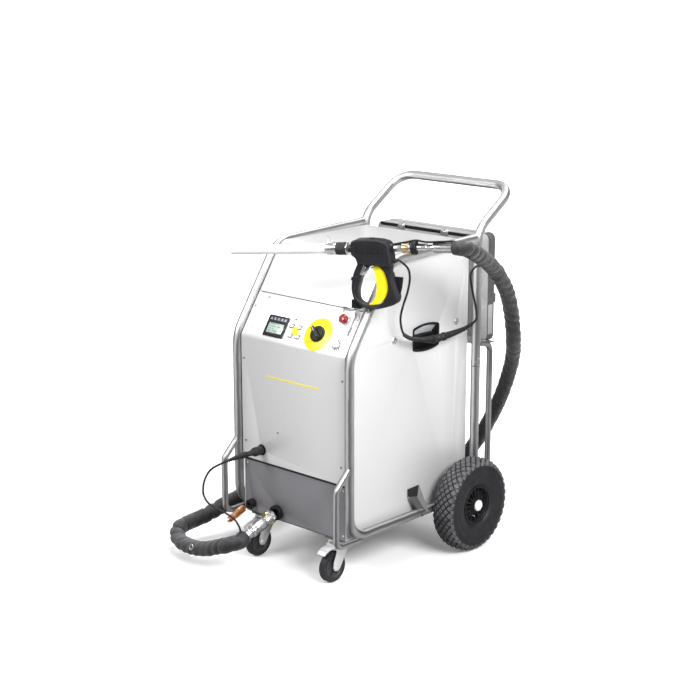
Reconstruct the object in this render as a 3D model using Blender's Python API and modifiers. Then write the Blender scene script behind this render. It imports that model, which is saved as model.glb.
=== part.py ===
"""Dry ice blasting machine on a tubular steel trolley, as separate named parts.

Metres, +Z up.  The operator panel faces -Y, so front is -Y, right is +X and left is -X.  The
design frame has x = 0 on the centre plane, y = 0 on the axis of the front uprights and z = 0 on
the floor.  A root empty carries the shift that puts the centre of the whole machine's footprint
on the world origin.
"""
import math
from collections import namedtuple

import bpy
import bmesh
from mathutils import Matrix, Vector

# ---------------------------------------------------------------- driving dimensions
SHIFT = (-0.054366, -0.305032, 0.0)   # design frame to world
SIDES = ((1, "right"), (-1, "left"))
GAP = 0.0004           # clearance between neighbouring parts

TUBE_X = 0.2476        # centre plane of each side frame
TUBE_R = 0.015         # main tube radius
THIN_R = 0.010         # bumper and case holder tube radius
RUN_Z = 0.162          # lower run of the side frame
BEND_Z = 0.745         # where the front upright turns into the slope
BEND_TOP = (0.185, 1.023)       # y, z
UPRIGHT_Y = 0.619
JOINT_Z = 0.605        # slip joint between side frame and push handle
HANDLE_TOP = (0.804, 1.185)     # y, z

SKIN_X = 0.2285        # outer face of the casing
SKIN_CUT = (0.21, 0.24)         # x range of cutters through a side panel
SHEET = 0.002          # side and front panel sheet
THICK_SHEET = 0.0025   # connector panel, rear panel and lid sheet
SLOPE_N = (-0.833, 0.553)       # outward normal of the sloping front in y, z
SLOPE_C = 0.41195      # offset of the sloping plane along its normal
SEAM_Z = 0.8745        # middle of the seam between front panel and lid
SEAM_HALF = 0.002
PANEL_BOTTOM = 0.1480
TOP_Z = 1.028
BACK_Y = 0.5965

TYRE_R = 0.158
TYRE_W = 0.084
WHEEL_X = 0.306
AXLE_Y, AXLE_Z = 0.529, TYRE_R
CASTOR_X, CASTOR_Y = 0.168, 0.040    # swivel axis
CASTOR_R = 0.050
CASTOR_TRAIL = 0.035

GUN_O = Vector((0.275, 0.070, 1.083))
GUN_YAW = math.radians(20.0)

# ---------------------------------------------------------------- scene and materials
for item in list(bpy.data.objects):
    bpy.data.objects.remove(item, do_unlink=True)

SCENE = bpy.context.scene
PARTS = bpy.data.collections.new("dry_ice_blasting_machine")
TOOLS = bpy.data.collections.new("cutting_shapes")
SCENE.collection.children.link(PARTS)
SCENE.collection.children.link(TOOLS)
ROOT = bpy.data.objects.new("footprint_origin", None)
ROOT.location = SHIFT
PARTS.objects.link(ROOT)

Look = namedtuple("Look", "rgb metallic roughness")
STEEL = Look(rgb=(0.62, 0.62, 0.61), metallic=1.0, roughness=0.32)
SHEET_STEEL = Look(rgb=(0.80, 0.80, 0.80), metallic=0.9, roughness=0.38)
GREY = Look(rgb=(0.33, 0.34, 0.35), metallic=0.3, roughness=0.5)
BLACK = Look(rgb=(0.02, 0.02, 0.022), metallic=0.0, roughness=0.5)
DARK = Look(rgb=(0.045, 0.045, 0.05), metallic=0.0, roughness=0.6)
ZINC = Look(rgb=(0.72, 0.73, 0.75), metallic=0.9, roughness=0.35)
BRASS = Look(rgb=(0.72, 0.55, 0.25), metallic=1.0, roughness=0.3)
COPPER = Look(rgb=(0.80, 0.38, 0.18), metallic=1.0, roughness=0.35)
YELLOW = Look(rgb=(0.95, 0.78, 0.02), metallic=0.0, roughness=0.4)
RED = Look(rgb=(0.55, 0.03, 0.04), metallic=0.0, roughness=0.35)
RUBBER = Look(rgb=(0.035, 0.035, 0.037), metallic=0.0, roughness=0.8)
PALE = Look(rgb=(0.70, 0.71, 0.72), metallic=0.0, roughness=0.5)


def material(name, look):
    made = bpy.data.materials.new(name)
    made.use_nodes = True
    inputs = made.node_tree.nodes["Principled BSDF"].inputs
    inputs["Base Color"].default_value = (*look.rgb, 1.0)
    inputs["Metallic"].default_value = look.metallic
    inputs["Roughness"].default_value = look.roughness
    made.diffuse_color = (*look.rgb, 1.0)
    return made


# ---------------------------------------------------------------- objects and modifiers
def add_object(name, mesh, look):
    """Put a mesh in the scene: a part if it has a look, else a hidden helper for booleans."""
    obj = bpy.data.objects.new(name, mesh)
    obj.parent = ROOT
    if look is None:
        TOOLS.objects.link(obj)
        obj.hide_render = True
        obj.display_type = "WIRE"
    else:
        PARTS.objects.link(obj)
        mesh.materials.append(material(name + "_material", look))
    return obj


def solid(name, shape, look=None, at=(0, 0, 0), turn=None):
    """Turn a bmesh into an object with its origin at the given place."""
    bmesh.ops.remove_doubles(shape, verts=shape.verts, dist=1e-6)
    bmesh.ops.recalc_face_normals(shape, faces=shape.faces)
    mesh = bpy.data.meshes.new(name)
    shape.to_mesh(mesh)
    shape.free()
    obj = add_object(name, mesh, look)
    obj.location = at
    if turn is not None:
        obj.rotation_euler = turn.to_euler()
    return obj


def bevel(obj, width, segments=2):
    mod = obj.modifiers.new("edge", "BEVEL")
    mod.width = width
    mod.segments = segments
    mod.limit_method = "ANGLE"
    mod.angle_limit = math.radians(40)


def boolean(obj, other, operation):
    mod = obj.modifiers.new(operation.lower(), "BOOLEAN")
    mod.operation = operation
    mod.solver = "EXACT"
    mod.object = other


def cut(obj, other):
    boolean(obj, other, "DIFFERENCE")


def join(obj, other):
    boolean(obj, other, "UNION")


# ---------------------------------------------------------------- basic solids
def about(centre, half):
    return centre - half, centre + half


def side_span(side, near, far):
    """The x range between two distances from the centre plane, on one side."""
    return sorted((side * near, side * far))


def add_box(shape, *spans):
    """Add a box given its x, y and z ranges, and return its vertices."""
    verts = bmesh.ops.create_cube(shape, size=1.0)["verts"]
    bmesh.ops.scale(shape, vec=[high - low for low, high in spans], verts=verts)
    bmesh.ops.translate(shape, vec=[(low + high) / 2 for low, high in spans], verts=verts)
    return verts


def box(name, x_span, y_span, z_span, look=None, at=(0, 0, 0), turn=None):
    shape = bmesh.new()
    add_box(shape, x_span, y_span, z_span)
    return solid(name, shape, look, at, turn)


def add_rod(shape, radius, start, end, sides=16):
    start, end = Vector(start), Vector(end)
    way = end - start
    spin = way.to_track_quat("Z", "X").to_matrix().to_4x4()
    bmesh.ops.create_cone(
        shape, cap_ends=True, segments=sides, radius1=radius, radius2=radius,
        depth=way.length, matrix=Matrix.Translation((start + end) / 2) @ spin)


def rod(name, radius, start, end, sides=16):
    """A round helper shape."""
    shape = bmesh.new()
    add_rod(shape, radius, start, end, sides)
    return solid(name, shape)


def prism(name, outline, span, look=None, axis="X", at=(0, 0, 0), turn=None):
    """Extrude an outline. axis X takes (y, z), axis Y takes (x, z), axis Z takes (x, y)."""
    def spot(point, along):
        coords = list(point)
        coords.insert("XYZ".index(axis), along)
        return Vector(coords)

    start, end = span
    shape = bmesh.new()
    face = shape.faces.new([shape.verts.new(spot(point, start)) for point in outline])
    grown = bmesh.ops.extrude_face_region(shape, geom=[face])
    top = [v for v in grown["geom"] if isinstance(v, bmesh.types.BMVert)]
    bmesh.ops.translate(shape, vec=spot((0, 0), end) - spot((0, 0), start), verts=top)
    return solid(name, shape, look, at, turn)


def turned(name, profile, look, at, along=(0, 0, 1), steps=20):
    """Turn a (radius, height) outline about an axis; it is closed if it starts off the axis."""
    mesh = bpy.data.meshes.new(name)
    shape = bmesh.new()
    verts = [shape.verts.new((radius, 0, height)) for radius, height in profile]
    for pair in zip(verts, verts[1:]):
        shape.edges.new(pair)
    if profile[0][0] > 0:
        shape.edges.new((verts[-1], verts[0]))
    shape.to_mesh(mesh)
    shape.free()
    obj = add_object(name, mesh, look)
    mod = obj.modifiers.new("turn", "SCREW")
    mod.axis = "Z"
    mod.angle = 2 * math.pi
    mod.steps = mod.render_steps = steps
    mod.use_merge_vertices = True
    mod.merge_threshold = 0.00001
    obj.location = at
    obj.rotation_euler = Vector(along).to_track_quat("Z", "Y").to_euler()
    return obj


# ---------------------------------------------------------------- lines and outlines
def rounded(points, radii, steps=5):
    """Fillet the inner corners of a polyline, in 2-D or 3-D."""
    points = [Vector(point) for point in points]
    line = [points[0]]
    for before, corner, after, radius in zip(points, points[1:], points[2:], radii):
        back, ahead = (before - corner).normalized(), (after - corner).normalized()
        half = back.angle(ahead) / 2
        reach = radius / math.tan(half)
        centre = corner + (back + ahead).normalized() * (radius / math.sin(half))
        start, end = corner + back * reach - centre, corner + ahead * reach - centre
        sweep = start.angle(end)
        for k in range(steps + 1):
            part = k / steps
            arm = start * math.sin((1 - part) * sweep) + end * math.sin(part * sweep)
            line.append(centre + arm / math.sin(sweep))
    line.append(points[-1])
    return line


def closed_round(points, radii, steps=3):
    """Fillet the corners of a closed 2-D outline; radius 0 keeps a corner sharp."""
    outline = []
    for i, radius in enumerate(radii):
        if radius == 0:
            outline.append(Vector(points[i]))
        else:
            corner = [points[i - 1], points[i], points[(i + 1) % len(points)]]
            outline += rounded(corner, [radius], steps)[1:-1]
    return outline


def round_box(across, upright, radius):
    """A rounded rectangle from its two ranges."""
    (a0, a1), (b0, b1) = across, upright
    return closed_round([(a0, b0), (a1, b0), (a1, b1), (a0, b1)], [radius] * 4)


def set_back(line, thick):
    """The polyline offset by a sheet's thickness to the right of its run."""
    ways = [(b - a).normalized() for a, b in zip(line, line[1:])]
    normals = [Vector((way.y, -way.x)) for way in ways]
    inner = []
    for point, before, after in zip(line, normals[:1] + normals, normals + normals[-1:]):
        normal = (before + after).normalized()
        inner.append(point + normal * (thick / normal.dot(before)))
    return inner


def strip(line, thick):
    """A bent sheet's closed outline: the outer line and the same line set back."""
    return line + set_back(line, thick)[::-1]


def spline_span(p0, p1, p2, p3, per):
    """Catmull-Rom points from p1 up to, but without, p2."""
    for k in range(per):
        t = k / per
        yield 0.5 * (2 * p1 + (p2 - p0) * t + (2 * p0 - 5 * p1 + 4 * p2 - p3) * t * t
                     + (3 * p1 - p0 - 3 * p2 + p3) * t ** 3)


def smooth(points, per=3):
    """A smooth open line through the given points."""
    p = [Vector(point) for point in points]
    p = [p[0] * 2 - p[1]] + p + [p[-1] * 2 - p[-2]]
    line = [q for four in zip(p, p[1:], p[2:], p[3:]) for q in spline_span(*four, per)]
    return line + [p[-2]]


def smooth_loop(points, per):
    """A smooth closed outline through the given points."""
    p = [Vector(point) for point in points]
    p = p[-1:] + p + p[:2]
    return [q for four in zip(p, p[1:], p[2:], p[3:]) for q in spline_span(*four, per)]


def curve_shape(data):
    """Turn a curve into a welded bmesh and drop the curve."""
    temp = bpy.data.objects.new(data.name + "_curve", data)
    SCENE.collection.objects.link(temp)
    deps = bpy.context.evaluated_depsgraph_get()
    mesh = bpy.data.meshes.new_from_object(temp.evaluated_get(deps))
    shape = bmesh.new()
    shape.from_mesh(mesh)
    bpy.data.objects.remove(temp, do_unlink=True)
    bpy.data.curves.remove(data)
    bpy.data.meshes.remove(mesh)
    bmesh.ops.remove_doubles(shape, verts=shape.verts, dist=1e-5)
    return shape


def tube(name, path, radius, look=None, resolution=4, widths=None):
    """A solid round bar along a path; widths are relative radii, one for each point."""
    data = bpy.data.curves.new(name, "CURVE")
    data.dimensions = "3D"
    data.bevel_depth = radius
    data.bevel_resolution = resolution
    data.resolution_u = 1
    data.use_fill_caps = True
    line = data.splines.new("POLY")
    line.points.add(len(path) - 1)
    for i, spot in enumerate(path):
        line.points[i].co = (*spot, 1.0)
        line.points[i].radius = widths[i] if widths else 1.0
    return solid(name, curve_shape(data), look)


def across(half):
    """A (y, z) line on the right frame plane, carried over to the left one in reverse."""
    return [(TUBE_X, y, z) for y, z in half] + [(-TUBE_X, y, z) for y, z in reversed(half)]


def mirrored(half):
    """A turned profile whose lower half mirrors the given upper half."""
    return half + [(radius, -height) for radius, height in reversed(half)]


# ---------------------------------------------------------------- local frames
# sloping panel: X to the right, Y up the slope, Z outward
UP = Vector((0, SLOPE_N[1], -SLOPE_N[0]))
OUT = Vector((0, SLOPE_N[0], SLOPE_N[1]))
SLOPE_TURN = Matrix(((1, 0, 0), (0, UP.y, OUT.y), (0, UP.z, OUT.z)))
# gun: X along the barrel towards the hose, Y across, Z up
GUN_TURN = Matrix.Rotation(GUN_YAW, 3, "Z")


def slope_plane(lift, z):
    """(y, z) at height z on the plane lifted off the sloping front."""
    return ((SLOPE_N[1] * z - SLOPE_C - lift) / -SLOPE_N[0], z)


def on_slope(x, z, lift=0.0):
    """The point of the sloping front at x and z, moved outward by lift."""
    return Vector((x, *slope_plane(0, z))) + OUT * lift


def add_slope_box(shape, x, z, x_span, up_span, out_span):
    verts = add_box(shape, x_span, up_span, out_span)
    move = Matrix.Translation(on_slope(x, z)) @ SLOPE_TURN.to_4x4()
    bmesh.ops.transform(shape, matrix=move, verts=verts)


def gun_point(along, up):
    return GUN_O + GUN_TURN @ Vector((along, 0, up))


# ---------------------------------------------------------------- side frames
FRAME_END_Z = 1.0365     # where the top tube meets the rear upright
AXLE_HOLE_R = 0.0106
STEP_X = (0.2294, TUBE_X + 0.0090)
STEP_OUTLINE = [(0.297, 0.249), (0.356, 0.249), (0.369, 0.154), (0.336, 0.152),
                (0.297, 0.218)]      # y, z
BUMPER_X = 0.2500
BUMPER_LINE = [(0.0, 0.398), (-0.0645, 0.335), (-0.0645, 0.150), (0.046, 0.150)]     # y, z


def side_frame(side, tag):
    """One bent frame tube with its step, and the bumper tube coped to fit it."""
    line = [(UPRIGHT_Y - TUBE_R - GAP, FRAME_END_Z), BEND_TOP, (0.0, BEND_Z), (0.0, RUN_Z),
            (UPRIGHT_Y, RUN_Z), (UPRIGHT_Y, JOINT_Z)]
    path = rounded([(side * TUBE_X, y, z) for y, z in line], [0.10, 0.12, 0.07, 0.07], 6)
    frame = tube("side_frame_" + tag, path, TUBE_R, STEEL)
    join(frame, prism("step_shape_" + tag, STEP_OUTLINE, side_span(side, *STEP_X)))
    cut(frame, rod("axle_cut_" + tag, AXLE_HOLE_R, (side * 0.20, AXLE_Y, AXLE_Z),
                   (side * 0.30, AXLE_Y, AXLE_Z), sides=20))

    bumper_path = rounded([(side * BUMPER_X, y, z) for y, z in BUMPER_LINE], [0.02, 0.03])
    bumper = tube("bumper_tube_" + tag, bumper_path, THIN_R, STEEL, resolution=3)
    cut(bumper, tube("coping_" + tag, path, TUBE_R + GAP))


for side, tag in SIDES:
    side_frame(side, tag)

# ---------------------------------------------------------------- push handle
HANDLE_LINE = [(UPRIGHT_Y, JOINT_Z + 0.0005), (UPRIGHT_Y, 1.060), HANDLE_TOP]        # y, z
tube("push_handle", rounded(across(HANDLE_LINE), [0.08, 0.07, 0.07, 0.08], 6), TUBE_R, STEEL)

# ---------------------------------------------------------------- base plate
BASE_FRONT = 0.0100
PAD_HALF = 0.038
base = box("base_plate", about(0, 0.2255), (BASE_FRONT, 0.5930), (0.1425, 0.1470), GREY)
pads = bmesh.new()
for side, tag in SIDES:
    add_box(pads, about(side * CASTOR_X, PAD_HALF), (BASE_FRONT, 0.078), (0.1370, 0.1440))
join(base, solid("castor_pads", pads))

# ---------------------------------------------------------------- side panels
INSET = 0.0045           # side panels sit inside the front and lid faces by this much
PANEL_BACK = 0.5935
PANEL_OUTLINE = [        # y, z
    (INSET, PANEL_BOTTOM), (PANEL_BACK, PANEL_BOTTOM), (PANEL_BACK, TOP_Z - INSET),
    slope_plane(-INSET, TOP_Z - INSET),
    (INSET, (SLOPE_C - INSET - SLOPE_N[0] * INSET) / SLOPE_N[1])]
GRIP_Y = (0.3200, 0.4450)       # opening of the carrying recess, right panel only
GRIP_Z = (0.7000, 0.7850)
LOCKS = (("front", 0.228, 0.757), ("rear", 0.536, 0.767))      # tag, y, z


def side_panel(side, tag):
    panel = prism("side_panel_" + tag, closed_round(PANEL_OUTLINE, [0, 0, 0, 0.045, 0.03], 4),
                  side_span(side, SKIN_X - SHEET, SKIN_X), SHEET_STEEL)
    openings = bmesh.new()
    add_box(openings, side_span(side, *SKIN_CUT), about(AXLE_Y, 0.0130),
            (0.140, AXLE_Z + 0.012))
    if side > 0:
        add_box(openings, SKIN_CUT, GRIP_Y, GRIP_Z)
        for _, y, z in LOCKS:
            add_rod(openings, 0.0060, (SKIN_CUT[0], y, z), (SKIN_CUT[1], y, z), 12)
    cut(panel, solid("panel_openings_" + tag, openings))


for side, tag in SIDES:
    side_panel(side, tag)

# ---------------------------------------------------------------- front panel
# centres of the controls on the sloping front, as x, z
DISPLAY = (-0.0935, 0.786)
DISPLAY_HALF = (0.0870 / 2, 0.0720 / 2)     # half width, half height along the slope
KEYS = ((-0.031, 0.797), (0.002, 0.797), (-0.023, 0.771), (0.009, 0.771))
KNOB = (0.088, 0.790)
STOP = (0.170, 0.843)
KEY_SWITCH = (0.179, 0.772)
PLUG_X, PLUG_Z = -0.140, 0.372              # cable plug on the upright part of the front
THROUGH = about(0, 0.02)                    # cutter depth through the panel


def display_spans(inset):
    return [about(0, half - inset) for half in DISPLAY_HALF]


front_line = rounded([(0.0, 0.3330), (0.0, BEND_Z), slope_plane(0, SEAM_Z - SEAM_HALF)],
                     [0.03], 4)
front = prism("front_panel", strip(front_line, SHEET), about(0, SKIN_X), SHEET_STEEL)
openings = bmesh.new()
add_slope_box(openings, *DISPLAY, *display_spans(0.0045), THROUGH)
for x, z in KEYS:
    add_slope_box(openings, x, z, about(0, 0.0076), about(0, 0.0056), THROUGH)
for spot, radius in ((KNOB, 0.0052), (STOP, 0.0072), (KEY_SWITCH, 0.0072)):
    add_rod(openings, radius, on_slope(*spot, THROUGH[0]), on_slope(*spot, THROUGH[1]))
add_rod(openings, 0.0085, (PLUG_X, THROUGH[0], PLUG_Z), (PLUG_X, THROUGH[1], PLUG_Z))
cut(front, solid("front_openings", openings))

# ---------------------------------------------------------------- connector and rear panels
AIR_X, AIR_Z = -0.190, 0.177                # air inlet
BLAST_X, BLAST_Z = -0.075, 0.172            # blast outlet
CONNECTOR_BACK = 0.0090

connector = box("connector_panel", about(0, 0.2260),
                (CONNECTOR_BACK - THICK_SHEET, CONNECTOR_BACK), (PANEL_BOTTOM, 0.3275), GREY)
openings = bmesh.new()
for x, z, radius in ((AIR_X, AIR_Z, 0.0105), (BLAST_X, BLAST_Z, 0.0165)):
    add_rod(openings, radius, (x, -0.02, z), (x, 0.03, z))
cut(connector, solid("connector_openings", openings))

box("rear_panel", about(0, SKIN_X), (BACK_Y - THICK_SHEET, BACK_Y), (PANEL_BOTTOM, 0.9780),
    SHEET_STEEL)

# ---------------------------------------------------------------- hopper lid
LID_BACK, PIVOT_Z = 0.600, 0.985            # the lid's origin is its rear pivot
LID_PIVOT = (0, LID_BACK, PIVOT_Z)
TRAY_X, POCKET_X = 0.2220, 0.2195           # half widths of the hollow part below the lid


def lid_part(name, outline, half, look=None):
    local = [(y - LID_BACK, z - PIVOT_Z) for y, z in outline]
    return prism(name, local, about(0, half), look, at=LID_PIVOT)


lid_line = rounded([slope_plane(0, SEAM_Z + SEAM_HALF), slope_plane(0, TOP_Z),
                    (LID_BACK, TOP_Z)], [0.045], 4)
lid = lid_part("hopper_lid", strip(lid_line, THICK_SHEET), SKIN_X, SHEET_STEEL)
tray = lid_part("lid_tray", lid_line + [(LID_BACK, PIVOT_Z + 0.0003)], TRAY_X)
lid_inner = set_back(lid_line, THICK_SHEET)
mouth = (lid_inner[0].x - 0.0054, lid_inner[0].y - 0.0081)   # opens the pocket at the front
pocket_back = LID_BACK - THICK_SHEET
pocket_outline = [mouth, *lid_inner[1:-1], (pocket_back, TOP_Z - THICK_SHEET),
                  (pocket_back, PIVOT_Z - 0.02)]
cut(tray, lid_part("lid_pocket", pocket_outline, POCKET_X))
join(lid, tray)


# ---------------------------------------------------------------- carrying recess and locks
def grip_outline(inset, radius):
    """The recess opening drawn in by inset, or spread out where it is negative."""
    spans = [(low + inset, high - inset) for low, high in (GRIP_Y, GRIP_Z)]
    return round_box(*spans, radius)


grip = prism("grip_recess", grip_outline(0.0008, 0.010), (0.1985, 0.2294), BLACK)
join(grip, prism("grip_flange", grip_outline(-0.0050, 0.014), (0.2288, 0.2305)))
cut(grip, prism("grip_hollow", grip_outline(0.0040, 0.009), (0.2010, 0.2400)))

# Every turned profile below is (radius, height along the axis), down its outer side.
LOCK = [(0, 0.0045), (0.0095, 0.0040), (0.0110, 0.0028), (0.0110, 0.0004),
        (0.0050, 0.0004), (0.0050, -0.0120), (0, -0.0120)]
for tag, y, z in LOCKS:
    turned("panel_lock_" + tag, LOCK, ZINC, at=(SKIN_X, y, z), along=(1, 0, 0), steps=16)

# ---------------------------------------------------------------- ice hopper
HOPPER_Y = 0.400                            # axis of the outlet
HOPPER_X_HALF = 0.190
HOPPER_SPAN = (0.225, 0.582)                # front and back
OUTLET_R = 0.040
HOPPER_SIDES = 24
SQUARENESS = 0.28                           # exponent; smaller is nearer a true rectangle
WALL = 0.002
HOPPER_RINGS = [         # z, inset, blend: outer skin downwards, then inner skin upwards
    (0.975, 0, 0), (0.800, 0, 0), (0.560, 0, 1), (0.504, 0, 1),
    (0.504, WALL, 1), (0.561, WALL, 1), (0.801, WALL, 0), (0.975, WALL, 0)]


def hopper_ring(z, inset, blend):
    """A ring that is a rounded rectangle at blend 0 and the round outlet at blend 1."""
    front_y, back_y = HOPPER_SPAN[0] + inset, HOPPER_SPAN[1] - inset
    centre_y, half_y = (front_y + back_y) / 2, (back_y - front_y) / 2
    ring = []
    for k in range(HOPPER_SIDES):
        angle = 2 * math.pi * (k + 0.5) / HOPPER_SIDES
        c, s = math.cos(angle), math.sin(angle)
        box_x = math.copysign(abs(c) ** SQUARENESS, c) * (HOPPER_X_HALF - inset)
        box_y = centre_y + math.copysign(abs(s) ** SQUARENESS, s) * half_y
        round_x, round_y = (OUTLET_R - inset) * c, HOPPER_Y + (OUTLET_R - inset) * s
        ring.append((box_x + (round_x - box_x) * blend, box_y + (round_y - box_y) * blend, z))
    return ring


hopper = bmesh.new()
rows = [[hopper.verts.new(point) for point in hopper_ring(*ring)] for ring in HOPPER_RINGS]
for row, below in zip(rows, rows[1:] + rows[:1]):
    for k in range(HOPPER_SIDES):
        after = (k + 1) % HOPPER_SIDES
        hopper.faces.new((row[k], row[after], below[after], below[k]))
solid("ice_hopper", hopper, SHEET_STEEL)

# ---------------------------------------------------------------- dosing unit
DOSING_AT = (0, HOPPER_Y, 0)
DOSING_HOUSING = [(0.0620, 0.5000), (0.0620, 0.4940), (0.0560, 0.4920), (0.0560, 0.3900),
                  (0.0085, 0.3900), (0.0085, 0.4000), (0.0510, 0.4000), (0.0510, 0.5000)]
ROTOR_RADII = (0.0490, 0.0460, 0.0220, 0.0170, 0.0220, 0.0460)     # one vane pitch
ROTOR_VANES = 6
MOTOR = [(0.0, 0.3840), (0.0300, 0.3840), (0.0300, 0.3740), (0.0450, 0.3700),
         (0.0450, 0.2700), (0.0400, 0.2640), (0.0, 0.2640)]

turned("dosing_housing", DOSING_HOUSING, ZINC, at=DOSING_AT, steps=28)

star = []
for k, radius in enumerate(ROTOR_RADII * ROTOR_VANES):
    angle = 2 * math.pi * k / (len(ROTOR_RADII) * ROTOR_VANES)
    star.append((radius * math.cos(angle), radius * math.sin(angle)))
rotor = prism("dosing_rotor", star, (0.0, 0.0900), ZINC, axis="Z", at=(0, HOPPER_Y, 0.4050))
join(rotor, rod("rotor_shaft", 0.0075, (0, HOPPER_Y, 0.3560), (0, HOPPER_Y, 0.4300)))

motor = turned("dosing_motor", MOTOR, DARK, at=DOSING_AT, steps=24)
cut(motor, rod("motor_bore", 0.0080, (0, HOPPER_Y, 0.3500), (0, HOPPER_Y, 0.3950)))

bevel(box("control_box", about(0, 0.150), (0.0300, 0.1200), (0.3600, 0.6200), DARK), 0.004)

# ---------------------------------------------------------------- air line
FORWARD = (0, -1, 0)
AIR_PIPE_Z = 0.255       # height of the pipes at the regulator and valve
COIL_Y = 0.195
AIR_INLET = [(0.0150, 0.0300), (0.0150, 0.0080), (0.0100, 0.0080), (0.0100, -0.0350),
             (0.0060, -0.0350), (0.0060, 0.0300)]
REGULATOR = [(0, 0.3080), (0.0180, 0.3080), (0.0200, 0.3040), (0.0200, 0.2760),
             (0.0280, 0.2740), (0.0280, 0.2360), (0.0220, 0.2340), (0.0220, 0.1960),
             (0.0160, 0.1860), (0, 0.1860)]
AIR_PIPE = [(0.0500, AIR_Z), (0.0760, AIR_Z), (0.0760, AIR_PIPE_Z),
            (0.1010, AIR_PIPE_Z)]    # y, z

turned("air_inlet", AIR_INLET, DARK, at=(AIR_X, 0.0140, AIR_Z), along=FORWARD)
turned("pressure_regulator", REGULATOR, DARK, at=(AIR_X, 0.130, 0))
tube("air_pipe", rounded([(AIR_X, y, z) for y, z in AIR_PIPE], [0.015, 0.012], 4), 0.0060,
     BRASS, resolution=2)
valve = box("air_valve", about(AIR_X, 0.024), (0.1590, 0.2300), (0.2320, 0.2800), BRASS)
join(valve, rod("coil_shape", 0.0170, (AIR_X, COIL_Y, 0.2700), (AIR_X, COIL_Y, 0.3300)))

# ---------------------------------------------------------------- blast line
BLAST_PIPE = [(-0.165, 0.1900, AIR_PIPE_Z), (BLAST_X, 0.1900, AIR_PIPE_Z),
              (BLAST_X, 0.3100, AIR_PIPE_Z), (BLAST_X, 0.3100, BLAST_Z),
              (BLAST_X, 0.0460, BLAST_Z)]
OUTLET_SOCKET = [(0.0250, 0.0150), (0.0250, 0.0010), (0.0158, 0.0010), (0.0158, -0.0310),
                 (0.0130, -0.0310), (0.0130, 0.0150)]
COUPLING_AT = Vector((BLAST_X, -0.0100, 0.1700))
COUPLING_WAY = Vector((0.0, -0.952, -0.305)).normalized()    # forward and down
COUPLING_L = 0.1380
HOSE_COUPLING = [
    (0, COUPLING_L), (0.0150, COUPLING_L), (0.0150, 0.1100), (0.0200, 0.1080),
    (0.0200, 0.0560), (0.0235, 0.0540), (0.0235, 0.0260), (0.0180, 0.0220),
    (0.0180, 0.0080), (0.0120, 0.0060), (0, 0.0060)]

tube("blast_pipe", rounded(BLAST_PIPE, [0.03, 0.03, 0.035], 4), 0.0120, STEEL, resolution=2)
turned("outlet_socket", OUTLET_SOCKET, DARK, at=(BLAST_X, 0.0054, BLAST_Z), along=FORWARD,
       steps=24)
turned("hose_coupling", HOSE_COUPLING, ZINC, at=COUPLING_AT, along=COUPLING_WAY)

# ---------------------------------------------------------------- blast hose
HOSE_R = 0.0250
HOSE_NECK = 0.82         # relative radius at the gun end
HOSE_TAPER = 0.10        # share of the length over which it widens to full size
HOSE_ROUTE = [           # x, y, z from the gun, down behind the machine and round its left side
    (0.5340, 0.1765, 1.0980), (0.5350, 0.1950, 1.0937), (0.5270, 0.2293, 1.0818),
    (0.5130, 0.2812, 1.0601), (0.4900, 0.3710, 1.0152), (0.4680, 0.4467, 0.9651),
    (0.4490, 0.5098, 0.9081), (0.4320, 0.5555, 0.8496), (0.4190, 0.5872, 0.7931),
    (0.3980, 0.6240, 0.7220), (0.3440, 0.6960, 0.6400), (0.2960, 0.7370, 0.555),
    (0.2400, 0.7650, 0.455), (0.1750, 0.7860, 0.352), (0.1000, 0.8000, 0.250),
    (0.0000, 0.8050, 0.140), (-0.1200, 0.8000, 0.060), (-0.2500, 0.7750, 0.030),
    (-0.3600, 0.7100, 0.027), (-0.4000, 0.6000, 0.027), (-0.4020, 0.4500, 0.027),
    (-0.3930, 0.3100, 0.045), (-0.3740, 0.1950, 0.100), (-0.3640, 0.1150, 0.129),
    (-0.3660, 0.0480, 0.121), (-0.3850, 0.0050, 0.101), (-0.4120, -0.0230, 0.080),
    (-0.4240, -0.0530, 0.071), (-0.4240, -0.0890, 0.070), (-0.4170, -0.1230, 0.065),
    (-0.3980, -0.1480, 0.053), (-0.3650, -0.1670, 0.048), (-0.3250, -0.1820, 0.050),
    (-0.2810, -0.1910, 0.054), (-0.2350, -0.1940, 0.061), (-0.1910, -0.1950, 0.073),
    (-0.1470, -0.1950, 0.090), (-0.1050, -0.1920, 0.106)]

hose_end = COUPLING_AT + COUPLING_WAY * (COUPLING_L + 0.0008)
hose_path = smooth([gun_point(0.2600, 0.0160), gun_point(0.2685, 0.0165), *HOSE_ROUTE,
                    hose_end + COUPLING_WAY * 0.030, hose_end + COUPLING_WAY * 0.012,
                    hose_end])
hose_widths = [HOSE_NECK + (1 - HOSE_NECK) * min(i / (len(hose_path) - 1) / HOSE_TAPER, 1.0)
               for i in range(len(hose_path))]
tube("blast_hose", hose_path, HOSE_R, DARK, resolution=3, widths=hose_widths)

# ---------------------------------------------------------------- panel controls
KNOB_DIAL = [(0, 0.0120), (0.0235, 0.0110), (0.0265, 0.0080), (0.0275, 0.0012),
             (0.0045, 0.0012), (0.0045, -0.0120), (0, -0.0120)]
KNOB_BAR = [(-0.0075, -0.0235), (0.0075, -0.0235), (0.0055, 0.0245), (-0.0055, 0.0245)]  # x, y
KNOB_ANGLE = math.radians(50)
STOP_BUTTON = [(0, 0.0200), (0.0110, 0.0190), (0.0150, 0.0160), (0.0155, 0.0120),
               (0.0130, 0.0090), (0.0065, 0.0085), (0.0065, -0.0120), (0, -0.0120)]
SWITCH = [(0, 0.0120), (0.0090, 0.0115), (0.0105, 0.0100), (0.0105, 0.0006),
          (0.0065, 0.0006), (0.0065, -0.0120), (0, -0.0120)]

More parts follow.
